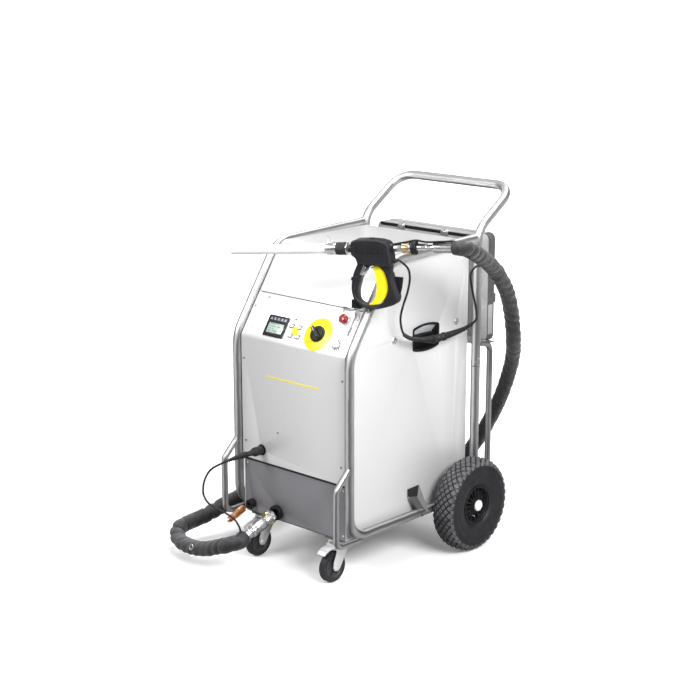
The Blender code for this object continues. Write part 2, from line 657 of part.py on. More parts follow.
on_display = dict(at=on_slope(*DISPLAY), turn=SLOPE_TURN)
display = box("display_unit", *display_spans(0), (GAP, 0.0040), BLACK, **on_display)
join(display, box("display_body", *display_spans(0.0050), (-0.0150, 0.0020), **on_display))

for i, spot in enumerate(KEYS):
    key = box("key_%d" % (i + 1), about(0, 0.0070), about(0, 0.0050), (-0.0060, 0.0030), PALE,
              at=on_slope(*spot), turn=SLOPE_TURN)
    bevel(key, 0.0008, 1)

knob = turned("selector_knob", KNOB_DIAL, BLACK, at=on_slope(*KNOB), along=OUT, steps=24)
join(knob, prism("knob_bar", closed_round(KNOB_BAR, [0.004] * 4), (0.0060, 0.0240), axis="Z",
                 at=on_slope(*KNOB), turn=SLOPE_TURN @ Matrix.Rotation(KNOB_ANGLE, 3, "Z")))
turned("stop_button", STOP_BUTTON, RED, at=on_slope(*STOP), along=OUT)
turned("key_switch", SWITCH, ZINC, at=on_slope(*KEY_SWITCH), along=OUT)

# ---------------------------------------------------------------- rear wheels
AXLE_END = 0.3470
AXLE_HALF = [(0, AXLE_END), (0.0180, AXLE_END), (0.0190, AXLE_END - 0.0015),
             (0.0190, 0.3405), (0.0100, 0.3405)]
RIM = [(0.0625, 0.0280), (0.0625, -0.0280), (0.0590, -0.0280), (0.0590, 0.0080),
       (0.0220, 0.0080), (0.0220, -0.0400), (0.0104, -0.0400), (0.0104, 0.0340),
       (0.0220, 0.0340), (0.0240, 0.0130), (0.0570, 0.0130), (0.0590, 0.0280)]
TYRE_HALF = [            # radius, share of the half width
    (0.0629, 0.62), (0.0700, 0.80), (0.1000, 0.98), (0.1250, 1), (0.1400, 0.93),
    (0.1520, 0.72), (TYRE_R, 0.36)]

turned("wheel_axle", mirrored(AXLE_HALF), ZINC, at=(0, AXLE_Y, AXLE_Z), along=(1, 0, 0))
tyre = mirrored([(radius, TYRE_W / 2 * share) for radius, share in TYRE_HALF])
for side, tag in SIDES:
    hub = dict(at=(side * WHEEL_X, AXLE_Y, AXLE_Z), along=(side, 0, 0))
    turned("rim_" + tag, RIM, BLACK, steps=28, **hub)
    turned("tyre_" + tag, tyre, RUBBER, steps=36, **hub)

# ---------------------------------------------------------------- castors
BRAKE_Y, BRAKE_Z = CASTOR_Y - 0.0335, 0.1200     # brake pivot
FORK_CHEEK = 0.0186      # middle of each fork cheek from the castor's centre plane
FORK_OUTLINE = [         # y from the swivel axis, z
    (-0.0300, 0.1345), (0.0280, 0.1345), (0.0280, 0.1200), (-0.0200, 0.0440),
    (-0.0280, 0.0390), (-0.0430, 0.0400), (-0.0490, 0.0520), (-0.0470, 0.0700),
    (-0.0340, 0.1000), (-0.0300, 0.1200)]
BRAKE_OUTLINE = [        # y, z from the brake pivot
    (0.0, 0.0040), (0.0045, 0.0000), (0.0, -0.0040), (-0.0300, -0.0075),
    (-0.0520, -0.0200), (-0.0545, -0.0170), (-0.0480, -0.0080), (-0.0300, -0.0010)]
CASTOR_WHEEL = [
    (CASTOR_R, 0.0085), (CASTOR_R, -0.0085), (0.0470, -0.0130), (0.0300, -0.0130),
    (0.0280, -0.0100), (0.0120, -0.0100), (0.0110, -0.0160), (0.0043, -0.0160),
    (0.0043, 0.0160), (0.0110, 0.0160), (0.0120, 0.0100), (0.0280, 0.0100),
    (0.0300, 0.0130), (0.0470, 0.0130)]


def castor(x, tag):
    swivel = (x, CASTOR_Y, 0)
    wheel_y = CASTOR_Y - CASTOR_TRAIL
    fork = prism("castor_fork_" + tag, FORK_OUTLINE, about(0, 0.0200), ZINC, at=swivel)
    cut(fork, box("fork_inner_" + tag, about(0, 0.0174), about(0, 0.10), (0.0, 0.1318),
                  at=swivel))
    more = bmesh.new()       # swivel disc, wheel pin and a boss on each cheek
    add_rod(more, 0.0230, (x, CASTOR_Y, 0.1330), (x, CASTOR_Y, 0.1364), 20)
    add_rod(more, 0.0040, (x - 0.0225, wheel_y, CASTOR_R), (x + 0.0225, wheel_y, CASTOR_R), 12)
    for cheek in about(x, FORK_CHEEK):
        add_rod(more, 0.0075, (cheek - 0.0016, BRAKE_Y, BRAKE_Z),
                (cheek + 0.0016, BRAKE_Y, BRAKE_Z), 12)
    join(fork, solid("fork_more_" + tag, more))
    turned("castor_wheel_" + tag, CASTOR_WHEEL, RUBBER, at=(x, wheel_y, CASTOR_R),
           along=(1, 0, 0), steps=24)
    prism("castor_brake_" + tag, BRAKE_OUTLINE, about(0, 0.0160), ZINC,
          at=(x, BRAKE_Y, BRAKE_Z))


for side, tag in SIDES:
    castor(side * CASTOR_X, tag)

# ---------------------------------------------------------------- blasting gun
# gun outlines are (along the barrel, up) in the gun frame
GUARD = [(-0.040, -0.030), (-0.046, -0.063), (-0.053, -0.079), (-0.060, -0.108),
         (-0.060, -0.136), (-0.052, -0.161), (-0.034, -0.179), (0.003, -0.189),
         (0.048, -0.180), (0.083, -0.165), (0.090, -0.149), (0.083, -0.131),
         (0.070, -0.095), (0.064, -0.060), (0.058, -0.030)]
GUARD_HOLE = [(0.004, -0.054), (-0.024, -0.060), (-0.040, -0.093), (-0.043, -0.130),
              (-0.030, -0.162), (0.004, -0.177), (0.036, -0.170), (0.056, -0.146),
              (0.059, -0.112), (0.048, -0.074), (0.030, -0.055)]
GUN_HOUSE = [(-0.0600, -0.0210), (-0.0600, 0.0120), (-0.0530, 0.0200), (-0.0350, 0.0238),
             (0.0000, 0.0260), (0.0250, 0.0258), (0.0480, 0.0215), (0.0590, 0.0150),
             (0.0650, -0.0160), (0.0715, -0.0430), (0.0640, -0.0510), (-0.0360, -0.0510),
             (-0.0420, -0.0330)]
TRIGGER = [(0.006, -0.0565), (0.018, -0.060), (0.032, -0.082), (0.043, -0.118),
           (0.037, -0.150), (0.020, -0.168), (0.004, -0.171), (0.008, -0.150),
           (0.010, -0.118), (0.004, -0.085), (0.000, -0.064)]
TRIGGER_PIVOT = (0.006, -0.060)
LATCH = [(-0.021, -0.064), (-0.021, -0.070), (-0.033, -0.089), (-0.038, -0.088),
         (-0.027, -0.066)]
LATCH_PIVOT = (-0.024, -0.066)
LANCE_START = (-0.0092, -0.0735)         # up, along
LANCE_FRONT = [          # radius, distance back from the tip: muzzle and two grooves
    (0.0045, 0), (0.0138, 0), (0.0148, 0.002), (0.0148, 0.1030), (0.0140, 0.1040),
    (0.0140, 0.1060), (0.0148, 0.1070), (0.0148, 0.2050), (0.0140, 0.2060),
    (0.0140, 0.2080), (0.0148, 0.2090)]
LANCE_REAR = [(0.0148, 0.0790), (0.0170, 0.0740), (0.0195, 0.0720), (0.0195, 0.0420),
              (0.0200, 0.0400), (0.0200, 0.0080), (0.0160, 0.0010), (0.0045, 0.0010)]
GUN_COUPLING = [
    (0.0045, 0.1835), (0.0150, 0.1835), (0.0150, 0.1250), (0.0130, 0.1233),
    (0.0085, 0.1220), (0.0085, 0.1040), (0.0125, 0.1030), (0.0125, 0.0720),
    (0.0210, 0.0715), (0.0210, 0.0560), (0.0175, 0.0550), (0.0175, 0.0270),
    (0.0120, 0.0260), (0.0120, 0.0010), (0.0045, 0.0010)]


def gun_plate(name, outline, half, look=None, hole=None, soft=0.0, origin=(0.0, 0.0)):
    """An outline in the gun plane, extruded across it, with chamfers of width soft."""
    data = bpy.data.curves.new(name, "CURVE")
    data.dimensions = "2D"
    data.fill_mode = "BOTH"
    data.extrude = half - soft
    data.bevel_depth = soft
    data.bevel_resolution = 0
    data.offset = -soft
    data.resolution_u = 1
    for loop in (outline, hole):
        if loop:
            line = data.splines.new("POLY")
            line.points.add(len(loop) - 1)
            line.use_cyclic_u = True
            for i, (along, up) in enumerate(loop):
                line.points[i].co = (along - origin[0], up - origin[1], 0, 1)
    upright = Matrix.Rotation(math.radians(90), 3, "X")
    return solid(name, curve_shape(data), look, gun_point(*origin), GUN_TURN @ upright)


gun = gun_plate("gun_body", smooth_loop(GUARD, 2), 0.0180, DARK,
                hole=smooth_loop(GUARD_HOLE, 3), soft=0.004)
join(gun, gun_plate("gun_house", GUN_HOUSE, 0.0265, soft=0.004))
lance_up, lance_along = LANCE_START
join(gun, rod("gun_neck", 0.0125, gun_point(-0.0720, lance_up), gun_point(0.0715, 0.0035)))
gun_plate("gun_trigger", smooth_loop(TRIGGER, 2), 0.0110, YELLOW, soft=0.002,
          origin=TRIGGER_PIVOT)
gun_plate("gun_latch", LATCH, 0.0080, YELLOW, origin=LATCH_PIVOT)

lance_at = gun_point(lance_along, lance_up)
lance_way = gun_point(-0.4710, -0.0410) - lance_at
lance = [(radius, lance_way.length - back) for radius, back in LANCE_FRONT] + LANCE_REAR
turned("gun_lance", lance, ZINC, at=lance_at, along=lance_way.normalized())
turned("gun_coupling", GUN_COUPLING, STEEL, at=gun_point(0.0725, 0.0035),
       along=(GUN_TURN @ Vector((0.180, 0, 0.0120))).normalized())

# ---------------------------------------------------------------- gun holder
# an upright plate with a foot on the sloping panel and a tray reaching forward
HOLDER_TRAY = [(0.0725, 0.8862), (0.0200, 0.8862), (0.0200, 0.8990), (0.0222, 0.8990),
               (0.0222, 0.8886), (0.0725, 0.8886)]       # y, z
holder = box("gun_holder", (0.2030, 0.2220), (0.0715, 0.0738), (0.8570, 0.9300), SHEET_STEEL)
foot = bmesh.new()
add_slope_box(foot, 0.2125, 0.8440, about(0, 0.0092), (-0.0500, 0.0195), (0.0006, 0.0030))
join(holder, solid("holder_foot", foot))
join(holder, prism("holder_tray", HOLDER_TRAY, (0.2032, 0.2320)))

# ---------------------------------------------------------------- signal cables
CABLE_R = 0.0035
GUN_CABLE = [            # x, y, z from the gun down to the carrying recess
    (0.3440, 0.1100, 1.0464), (0.3300, 0.1493, 1.0298), (0.3200, 0.1854, 1.0054),
    (0.3160, 0.1979, 0.9806), (0.3100, 0.2025, 0.9547), (0.3000, 0.2038, 0.9205),
    (0.2880, 0.1998, 0.8825), (0.2790, 0.1997, 0.8481), (0.2710, 0.2108, 0.8160),
    (0.2680, 0.2275, 0.7857), (0.2700, 0.2532, 0.7686), (0.2720, 0.2740, 0.762),
    (0.2740, 0.3200, 0.752)]
HOSE_CABLE = [           # x, y, z from the carrying recess up to the hose
    (0.2740, 0.3210, 0.7517), (0.2745, 0.3450, 0.7480), (0.2750, 0.3880, 0.7450),
    (0.2750, 0.4300, 0.7460), (0.2760, 0.4790, 0.7490), (0.2860, 0.5200, 0.7590),
    (0.3080, 0.5360, 0.7820), (0.3280, 0.5160, 0.8140), (0.3380, 0.4920, 0.8600),
    (0.3420, 0.4690, 0.9130), (0.3520, 0.4520, 0.9540), (0.3760, 0.4430, 0.9810),
    (0.4030, 0.4340, 0.9910)]
SWELLS = [(0.02, 0.22, 0.0085), (0.23, 0.34, 0.0060)]    # from, to (shares of length), radius
PLUG = [(0.0180, 0.0080), (-0.0010, 0.0080), (-0.0030, 0.0150), (-0.0340, 0.0150),
        (-0.0370, 0.0110), (-0.0700, 0.0105)]            # y, radius
FRONT_CABLE = [          # x, y, z from the plug down to the hose
    (PLUG_X, -0.0750, PLUG_Z), (PLUG_X - 0.001, -0.1000, 0.3720),
    (PLUG_X - 0.002, -0.1300, 0.3710), (-0.1550, -0.1620, 0.3620),
    (-0.1950, -0.1760, 0.3340), (-0.2260, -0.1760, 0.2900), (-0.2350, -0.1740, 0.2450),
    (-0.2150, -0.1730, 0.2180), (-0.1750, -0.1710, 0.2070), (-0.1340, -0.1690, 0.2000),
    (-0.1000, -0.1650, 0.1870), (-0.0850, -0.1600, 0.1700)]


def cable(name, path, radii=None):
    widths = radii and [radius / CABLE_R for radius in radii]
    tube(name, path, CABLE_R, BLACK, resolution=1, widths=widths)


def swell_radius(share):
    for start, end, radius in SWELLS:
        if start <= share <= end:
            return radius
    return CABLE_R


cable("gun_signal_cable", smooth([gun_point(0.0770, -0.0360), *GUN_CABLE]))
path = smooth(HOSE_CABLE)
cable("hose_signal_cable", path, [swell_radius(i / (len(path) - 1)) for i in range(len(path))])
# the front cable thins from the plug to its full run over about 12 points
cord = smooth(FRONT_CABLE)
cord_radii = [max(0.0100 - 0.0065 * i / 12, CABLE_R) for i in range(len(cord))]
cable("front_signal_cable", [(PLUG_X, y, PLUG_Z) for y, _ in PLUG] + cord,
      [radius for _, radius in PLUG] + cord_radii)

# ---------------------------------------------------------------- earth clamp
CLAMP_X = -0.2000
CLAMP_OUTLINE = [(-0.0190, 0.1700), (-0.0300, 0.1745), (-0.0980, 0.1500), (-0.0960, 0.1330),
                 (-0.0720, 0.1360), (-0.0300, 0.1530)]   # y, z
CLAMP_GAP = [(-0.0560, 0.1512), (-0.1100, 0.1330), (-0.1100, 0.1440), (-0.0600, 0.1545)]
clamp = prism("earth_clamp", CLAMP_OUTLINE, about(CLAMP_X, 0.0080), COPPER)
cut(clamp, prism("clamp_gap", CLAMP_GAP, about(CLAMP_X, 0.0200)))

# ---------------------------------------------------------------- case holder
RACK_Y = 0.6950
RACK_LINE = [(UPRIGHT_Y + TUBE_R + 0.0024, 0.6785), (RACK_Y, 0.6680), (RACK_Y, 0.2000)]
SHELF = [(0.6600, 0.6640), (0.7400, 0.6640), (0.7400, 0.6660), (0.6620, 0.6660),
         (0.6620, 0.6900), (0.6600, 0.6900)]             # y, z
rack = tube("case_holder", rounded(across(RACK_LINE), [0.035, 0.05, 0.05, 0.035]), THIN_R,
            STEEL, resolution=3)
join(rack, prism("shelf_shape", SHELF, about(0, TUBE_X + 0.002)))

# ---------------------------------------------------------------- tool case
CASE_HALF = 0.2300
CASE_FRONT, CASE_SPLIT, CASE_BACK = 0.664, 0.7005, 0.736
CASE_BOTTOM, CASE_TOP = 0.667, 1.036
CASE_CORNER = 0.022
CASE_RIM = 0.004         # wall around the edge
CASE_FACE = 0.003        # wall of the front and back faces


def case_outline(inset=0.0):
    return round_box(about(0, CASE_HALF - inset), (CASE_BOTTOM + inset, CASE_TOP - inset),
                     CASE_CORNER - inset)


body = prism("tool_case_body", case_outline(), (CASE_FRONT, CASE_SPLIT - GAP), PALE, axis="Y")
cut(body, prism("case_hollow", case_outline(CASE_RIM),
                (CASE_FRONT + CASE_FACE, CASE_SPLIT + 0.02), axis="Y"))
# the lid's origin is at the bottom of its back face
flap = prism("tool_case_lid", [(x, z - CASE_BOTTOM) for x, z in case_outline()],
             (CASE_SPLIT + GAP - CASE_BACK, 0.0), GREY, axis="Y",
             at=(0, CASE_BACK, CASE_BOTTOM))
cut(flap, prism("lid_hollow", case_outline(CASE_RIM),
                (CASE_SPLIT - 0.02, CASE_BACK - CASE_FACE), axis="Y"))
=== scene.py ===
"""A dry ice blasting machine: a stainless casing in a tube frame on two wheels and two castors,
with an operator panel, blast gun, hose, cables and a tool case on a rack at the back.

Shapes are laid out in metres in a design frame: x = 0 is the centre plane, y = 0 the front
uprights with +y to the rear, z = 0 the floor. "Right" is +x. SHIFT moves it onto the CAD frame.
"""

import math

import bpy
import bmesh
import numpy as np
from mathutils import Matrix, Vector


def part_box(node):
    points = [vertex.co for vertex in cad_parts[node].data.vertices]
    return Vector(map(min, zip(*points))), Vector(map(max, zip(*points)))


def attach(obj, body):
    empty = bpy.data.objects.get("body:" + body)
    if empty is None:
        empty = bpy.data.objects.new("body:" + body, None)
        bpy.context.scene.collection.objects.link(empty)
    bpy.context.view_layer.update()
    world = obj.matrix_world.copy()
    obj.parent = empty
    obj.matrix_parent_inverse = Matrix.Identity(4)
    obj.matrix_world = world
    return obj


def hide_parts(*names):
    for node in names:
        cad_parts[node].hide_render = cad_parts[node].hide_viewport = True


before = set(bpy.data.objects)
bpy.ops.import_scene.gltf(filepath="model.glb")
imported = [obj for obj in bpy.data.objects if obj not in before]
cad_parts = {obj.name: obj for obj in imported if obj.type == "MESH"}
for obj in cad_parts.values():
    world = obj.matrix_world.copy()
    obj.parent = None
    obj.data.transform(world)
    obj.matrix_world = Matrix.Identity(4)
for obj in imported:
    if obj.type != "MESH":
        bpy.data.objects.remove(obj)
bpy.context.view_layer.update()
SCENE = bpy.context.scene
PI = math.pi
SIDES = ((1, "right"), (-1, "left"))

# ================================================================ driving dimensions
# tube frame
TUBE_X, TUBE_R, THIN_R = 0.2476, 0.015, 0.010
RUN_Z, BEND_Z, UPRIGHT_Y, JOINT_Z = 0.162, 0.745, 0.619, 0.605
BEND_TOP = (0.185, 1.023)                   # y, z
HANDLE_TOP = (0.804, 1.185)                 # y, z
BUMPER_X = 0.2500

# casing
SKIN_X, SHEET = 0.2285, 0.002
FLOOR_Z, SEAM_Z, TOP_Z, BACK_Y = 0.1480, 0.8745, 1.028, 0.5965
LOCKS = (("front", 0.228, 0.757), ("rear", 0.536, 0.767))   # place, y, z

# running gear
AXLE = (0.529, 0.158)                       # y, z
WHEEL_X = 0.306
CASTOR_X, CASTOR_Y, CASTOR_R, CASTOR_TRAIL = 0.168, 0.040, 0.050, 0.035

# sloping operator panel: the plane NORMAL . (y, z) = SLOPE_C
SLOPE_N, SLOPE_C = (-0.833, 0.553), 0.41195
UP = Vector((0, SLOPE_N[1], -SLOPE_N[0]))
OUT = Vector((0, SLOPE_N[0], SLOPE_N[1])).normalized()
SLOPE_TURN = Matrix(((1, 0, 0), (0, UP.y, OUT.y), (0, UP.z, OUT.z)))

# controls on the panel (x, z) and the cable plug on the front below it (x, z)
DISPLAY_W, DISPLAY_H = 0.0870, 0.0720
DISPLAY = (-0.0935, 0.786)
KEYS = ((-0.031, 0.797), (0.002, 0.797), (-0.023, 0.771), (0.009, 0.771))
KNOB, STOP, KEY_SWITCH = (0.088, 0.790), (0.170, 0.843), (0.179, 0.772)
PLUG = (-0.140, 0.372)

# gun: u runs along it from nozzle to hose, v across, w up
GUN_ORIGIN = Vector((0.275, 0.070, 1.083))
GUN_TURN = Matrix.Rotation(math.radians(20.0), 3, "Z")

# blast hose coupling: where it starts and which way it points
COUPLING = Vector((-0.075, -0.0100, 0.1700))
COUPLING_WAY = Vector((0.0, -0.952, -0.305)).normalized()

CAMERA_PLACE = Vector((3.3856, -3.3963, 1.9376))
CAMERA_YAW = math.radians(42.715)

axle_low, axle_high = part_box("wheel_axle")[:2]
SHIFT = Vector(((axle_low.x + axle_high.x) / 2, (axle_low.y + axle_high.y) / 2 - AXLE[0], 0.0))


# ================================================================ material tools
def grey(value):
    return (value, value, value)


def scaled(color, factor):
    return tuple(min(c * factor, 1) for c in color)


class Shader:
    """Builds one procedural Principled material; each method adds one effect."""

    def __init__(self, name, color, metallic=0.0, roughness=0.5):
        self.material = bpy.data.materials.new(name)
        self.material.use_nodes = True
        self.material.diffuse_color = (*color, 1)
        self.tree = self.material.node_tree
        self.principled = self.tree.nodes["Principled BSDF"]
        self.set(Base_Color=(*color, 1), Metallic=metallic, Roughness=roughness)
        self.normal = None
        self.mappings = {}

    def node(self, kind, **props):
        node = self.tree.nodes.new(kind)
        for key, value in props.items():
            setattr(node, key, value)
        return node

    def feed(self, socket, value):
        """Link an output socket, or set a plain value."""
        if isinstance(value, bpy.types.NodeSocket):
            self.tree.links.new(value, socket)
        else:
            socket.default_value = value

    def set(self, **values):
        for key, value in values.items():
            self.feed(self.principled.inputs[key.replace("_", " ")], value)

    def math(self, operation, *values):
        node = self.node("ShaderNodeMath", operation=operation)
        for socket, value in zip(node.inputs, values):
            self.feed(socket, value)
        return node.outputs[0]

    def mix(self, factor, a, b, **props):
        node = self.node("ShaderNodeMix", data_type="RGBA", **props)
        self.feed(node.inputs["Factor"], factor)
        self.feed(node.inputs["A"], a)
        self.feed(node.inputs["B"], b)
        return node.outputs["Result"]

    def separate(self, vector):
        node = self.node("ShaderNodeSeparateXYZ")
        self.feed(node.inputs[0], vector)
        return node.outputs

    def coord(self, stretch=(1, 1, 1)):
        """Object coordinates, one shared mapping for each stretch."""
        if stretch not in self.mappings:
            source = self.node("ShaderNodeTexCoord")
            mapping = self.node("ShaderNodeMapping")
            mapping.inputs["Scale"].default_value = stretch
            self.feed(mapping.inputs["Vector"], source.outputs["Object"])
            self.mappings[stretch] = mapping.outputs["Vector"]
        return self.mappings[stretch]

    def noise(self, scale, detail, stretch=(1, 1, 1), roughness=0.5):
        node = self.node("ShaderNodeTexNoise")
        node.inputs["Scale"].default_value = scale
        node.inputs["Detail"].default_value = detail
        node.inputs["Roughness"].default_value = roughness
        self.feed(node.inputs["Vector"], self.coord(stretch))
        return node.outputs["Fac"]

    def cells(self, scale):
        node = self.node("ShaderNodeTexVoronoi", feature="SMOOTH_F1")
        node.inputs["Scale"].default_value = scale
        self.feed(node.inputs["Vector"], self.coord())
        return node.outputs["Distance"]

    def remap(self, value, low, high, source=(0.3, 0.7)):
        node = self.node("ShaderNodeMapRange")
        node.inputs["From Min"].default_value, node.inputs["From Max"].default_value = source
        node.inputs["To Min"].default_value, node.inputs["To Max"].default_value = low, high
        self.feed(node.inputs["Value"], value)
        return node.outputs["Result"]

    def tint(self, pattern, dark, light, source=(0.3, 0.7)):
        """Colour by a pattern, multiplied onto any earlier colour pattern."""
        color = self.mix(self.remap(pattern, 0, 1, source), (*dark, 1), (*light, 1))
        base = self.principled.inputs["Base Color"]
        if base.is_linked:
            color = self.mix(1, base.links[0].from_socket, color, blend_type="MULTIPLY")
        self.feed(base, color)

    def bump(self, height, strength, distance):
        """Relief, stacked on any earlier relief."""
        node = self.node("ShaderNodeBump")
        node.inputs["Strength"].default_value = strength
        node.inputs["Distance"].default_value = distance
        self.feed(node.inputs["Height"], height)
        if self.normal is not None:
            self.feed(node.inputs["Normal"], self.normal)
        self.normal = node.outputs["Normal"]
        self.set(Normal=self.normal)

    def uneven(self, scale, detail, low, high):
        """Roughness that wanders between two values."""
        self.set(Roughness=self.remap(self.noise(scale, detail), low, high))

    def mottle(self, scale, detail, dark, light):
        self.tint(self.noise(scale, detail), dark, light)

    def grain(self, scale, detail, strength, distance):
        self.bump(self.noise(scale, detail), strength, distance)

    def height(self):
        """Height above the floor."""
        return self.separate(self.node("ShaderNodeNewGeometry").outputs["Position"])["Z"]

    def bands(self, stops, across=0.80, up=-0.72):
        """Painted studio reflections: light and dark bands across a round bar, by the normal the
        camera sees.

        stops: (position from -1 to 1, brightness)."""
        geometry = self.node("ShaderNodeNewGeometry")
        to_camera = self.node("ShaderNodeVectorTransform", vector_type="NORMAL",
                              convert_from="WORLD", convert_to="CAMERA")
        self.feed(to_camera.inputs[0], geometry.outputs["Normal"])
        seen = self.separate(to_camera.outputs[0])
        place = self.math("MULTIPLY_ADD", seen["Y"], up, self.math("MULTIPLY", seen["X"], across))
        wobble = self.remap(self.noise(scale=14, detail=2), -0.05, 0.05)
        place = self.math("ADD", place, wobble)
        ramp = self.node("ShaderNodeValToRGB")
        elements = ramp.color_ramp.elements
        for k, (position, value) in enumerate([stops[0], stops[-1]] + stops[1:-1]):
            element = elements[k] if k < 2 else elements.new((position + 1) / 2)
            element.position = (position + 1) / 2
            element.color = (value, value, value * 1.005, 1)
        self.feed(ramp.inputs["Fac"], self.remap(place, 0.0, 1.0, (-1.0, 1.0)))
        self.set(Base_Color=ramp.outputs["Color"])

    def edge_wear(self, color, amount):
        """Another colour, broken up by noise, on edges where hands and tools rub."""
        bevelled = self.node("ShaderNodeBevel", samples=4)
        bevelled.inputs["Radius"].default_value = 0.0012
        geometry = self.node("ShaderNodeNewGeometry")
        dot = self.node("ShaderNodeVectorMath", operation="DOT_PRODUCT")
        self.feed(dot.inputs[0], bevelled.outputs["Normal"])
        self.feed(dot.inputs[1], geometry.outputs["Normal"])
        edge = self.remap(dot.outputs["Value"], 1.0, 0.0, (0.86, 0.995))
        patches = self.remap(self.noise(scale=160, detail=4), 0.0, 1.0, (0.35, 0.6))
        worn = self.math("MULTIPLY", self.math("MULTIPLY", edge, patches), amount)
        base = self.principled.inputs["Base Color"].links[0].from_socket
        self.set(Base_Color=self.mix(worn, base, (*color, 1)))


# ================================================================ material recipes
def tube_steel():
    m = Shader("satin_tube_steel", grey(0.50), metallic=0.78, roughness=0.42)
    # painted studio reflections: light and dark bands across the tube
    m.bands([(-1.0, 0.46), (-0.78, 0.40), (-0.64, 0.46), (-0.48, 0.72), (-0.34, 0.92),
             (-0.20, 0.94), (-0.07, 0.66), (0.06, 0.30), (0.20, 0.20), (0.36, 0.24),
             (0.50, 0.36), (0.64, 0.54), (0.80, 0.74), (1.0, 0.78)])
    m.uneven(scale=22, detail=3, low=0.38, high=0.46)
    m.mottle(scale=9, detail=3, dark=grey(0.93), light=grey(1))
    # painted shade: the tube darker towards the floor
    m.tint(m.height(), dark=grey(0.58), light=grey(1.0), source=(0.18, 0.98))
    m.grain(scale=1400, detail=2, strength=0.04, distance=0.0002)
    return m.material


def sheet_steel(name, tone, low, high, metallic):
    """Brushed sheet; low and high bound the roughness."""
    m = Shader(name, grey(tone), metallic, roughness=0.44)
    brushed = m.noise(scale=1.0, detail=4, stretch=(900, 900, 14), roughness=0.6)
    m.uneven(scale=5, detail=3, low=low, high=high)
    m.tint(brushed, scaled(grey(tone), 0.985), scaled(grey(tone), 1.012))
    m.mottle(scale=2.4, detail=2, dark=(0.988, 0.988, 0.992), light=grey(1))
    # painted shade: the sheet darker towards the bottom
    m.tint(m.height(), dark=(0.86, 0.86, 0.865), light=grey(1), source=(0.25, 0.80))
    m.bump(brushed, strength=0.02, distance=0.0002)
    return m.material


def paint(name, color):
    m = Shader(name, color, metallic=0.30, roughness=0.46)
    m.uneven(scale=30, detail=4, low=0.42, high=0.56)
    m.mottle(scale=5, detail=3, dark=scaled(color, 0.93), light=scaled(color, 1.06))
    m.bump(m.cells(scale=900), strength=0.10, distance=0.0005)
    return m.material


def plastic(name, color, rough=0.42, grain=1500, depth=0.12, wear=None):
    """Moulded plastic; grain and depth are the relief's scale and strength."""
    m = Shader(name, color, roughness=rough)
    m.uneven(scale=60, detail=4, low=rough - 0.08, high=rough + 0.08)
    m.mottle(scale=22, detail=3, dark=scaled(color, 0.90), light=scaled(color, 1.08))
    m.grain(scale=grain, detail=2, strength=depth, distance=0.0003)
    if wear:
        m.edge_wear(wear, amount=0.45)
    return m.material


def rubber(name, color, rough):
    m = Shader(name, color, roughness=rough)
    m.uneven(scale=35, detail=5, low=rough - 0.12, high=rough + 0.12)
    m.mottle(scale=18, detail=5, dark=scaled(color, 0.8), light=scaled(color, 1.5))
    m.grain(scale=900, detail=3, strength=0.18, distance=0.0004)
    m.set(Specular_IOR_Level=0.30)
    return m.material


def woven_sleeve():
    """Textile hose sleeve: diagonal basket weave along the hose's own UV."""
    m = Shader("woven_hose_sleeve", (0.030, 0.030, 0.033), roughness=0.78)

    def diagonal(operation):
        uv = m.separate(m.node("ShaderNodeUVMap", uv_map="weave").outputs["UV"])
        turns = m.math(operation, uv["X"], uv["Y"])
        return m.math("SINE", m.math("MULTIPLY", turns, 2 * PI))

    weave = m.math("MULTIPLY", diagonal("ADD"), diagonal("SUBTRACT"))
    # painted light and shade: the sleeve lighter on its upper left, darker on its lower right
    m.bands([(-1.0, 1.0), (-0.60, 1.0), (-0.20, 0.55), (0.25, 0.20), (1.0, 0.12)],
            across=0.45, up=-0.88)
    m.tint(weave, dark=(0.016, 0.016, 0.018), light=(0.062, 0.062, 0.067), source=(-1, 1))
    m.mottle(scale=9, detail=4, dark=(0.75, 0.75, 0.77), light=grey(1.25))
    m.uneven(scale=25, detail=4, low=0.44, high=0.66)
    m.bump(weave, strength=0.55, distance=0.0007)
    wrinkles = m.noise(scale=60, detail=5, roughness=0.62)
    m.bump(wrinkles, strength=0.9, distance=0.0045)
    m.set(Sheen_Weight=0.25, Sheen_Roughness=0.5)
    return m.material


def plated(name, color, rough, metallic=1.0):
    """Zinc or nickel plate with faint crystals and brighter edges."""
    m = Shader(name, color, metallic, rough)
    m.uneven(scale=55, detail=5, low=rough - 0.08, high=rough + 0.12)
    m.tint(m.cells(scale=70), scaled(color, 0.9), scaled(color, 1.06), source=(0.0, 0.8))
    m.grain(scale=500, detail=3, strength=0.06, distance=0.0004)
    m.edge_wear(grey(0.9), amount=0.4)
    return m.material


def brass():
    m = Shader("brass", (0.66, 0.50, 0.26), metallic=1.0, roughness=0.28)
    m.uneven(scale=70, detail=4, low=0.20, high=0.40)
    m.mottle(scale=40, detail=4, dark=(0.58, 0.42, 0.20), light=(0.76, 0.62, 0.36))
    m.grain(scale=900, detail=2, strength=0.05, distance=0.0003)
    return m.material


def copper():
    m = Shader("copper_plate", (0.80, 0.37, 0.17), metallic=1.0, roughness=0.32)
    m.uneven(scale=120, detail=4, low=0.22, high=0.46)
    m.mottle(scale=60, detail=5, dark=(0.62, 0.26, 0.11), light=(0.95, 0.50, 0.25))
    m.grain(scale=700, detail=3, strength=0.1, distance=0.0004)
    return m.material


def glossy(name, color, rough, coat):
    m = Shader(name, color, roughness=rough)
    m.uneven(scale=50, detail=3, low=rough - 0.05, high=rough + 0.10)
    m.mottle(scale=30, detail=2, dark=scaled(color, 0.94), light=scaled(color, 1.04))
    m.grain(scale=1200, detail=2, strength=0.03, distance=0.0002)
    m.set(Coat_Weight=coat, Coat_Roughness=0.08)
    return m.material


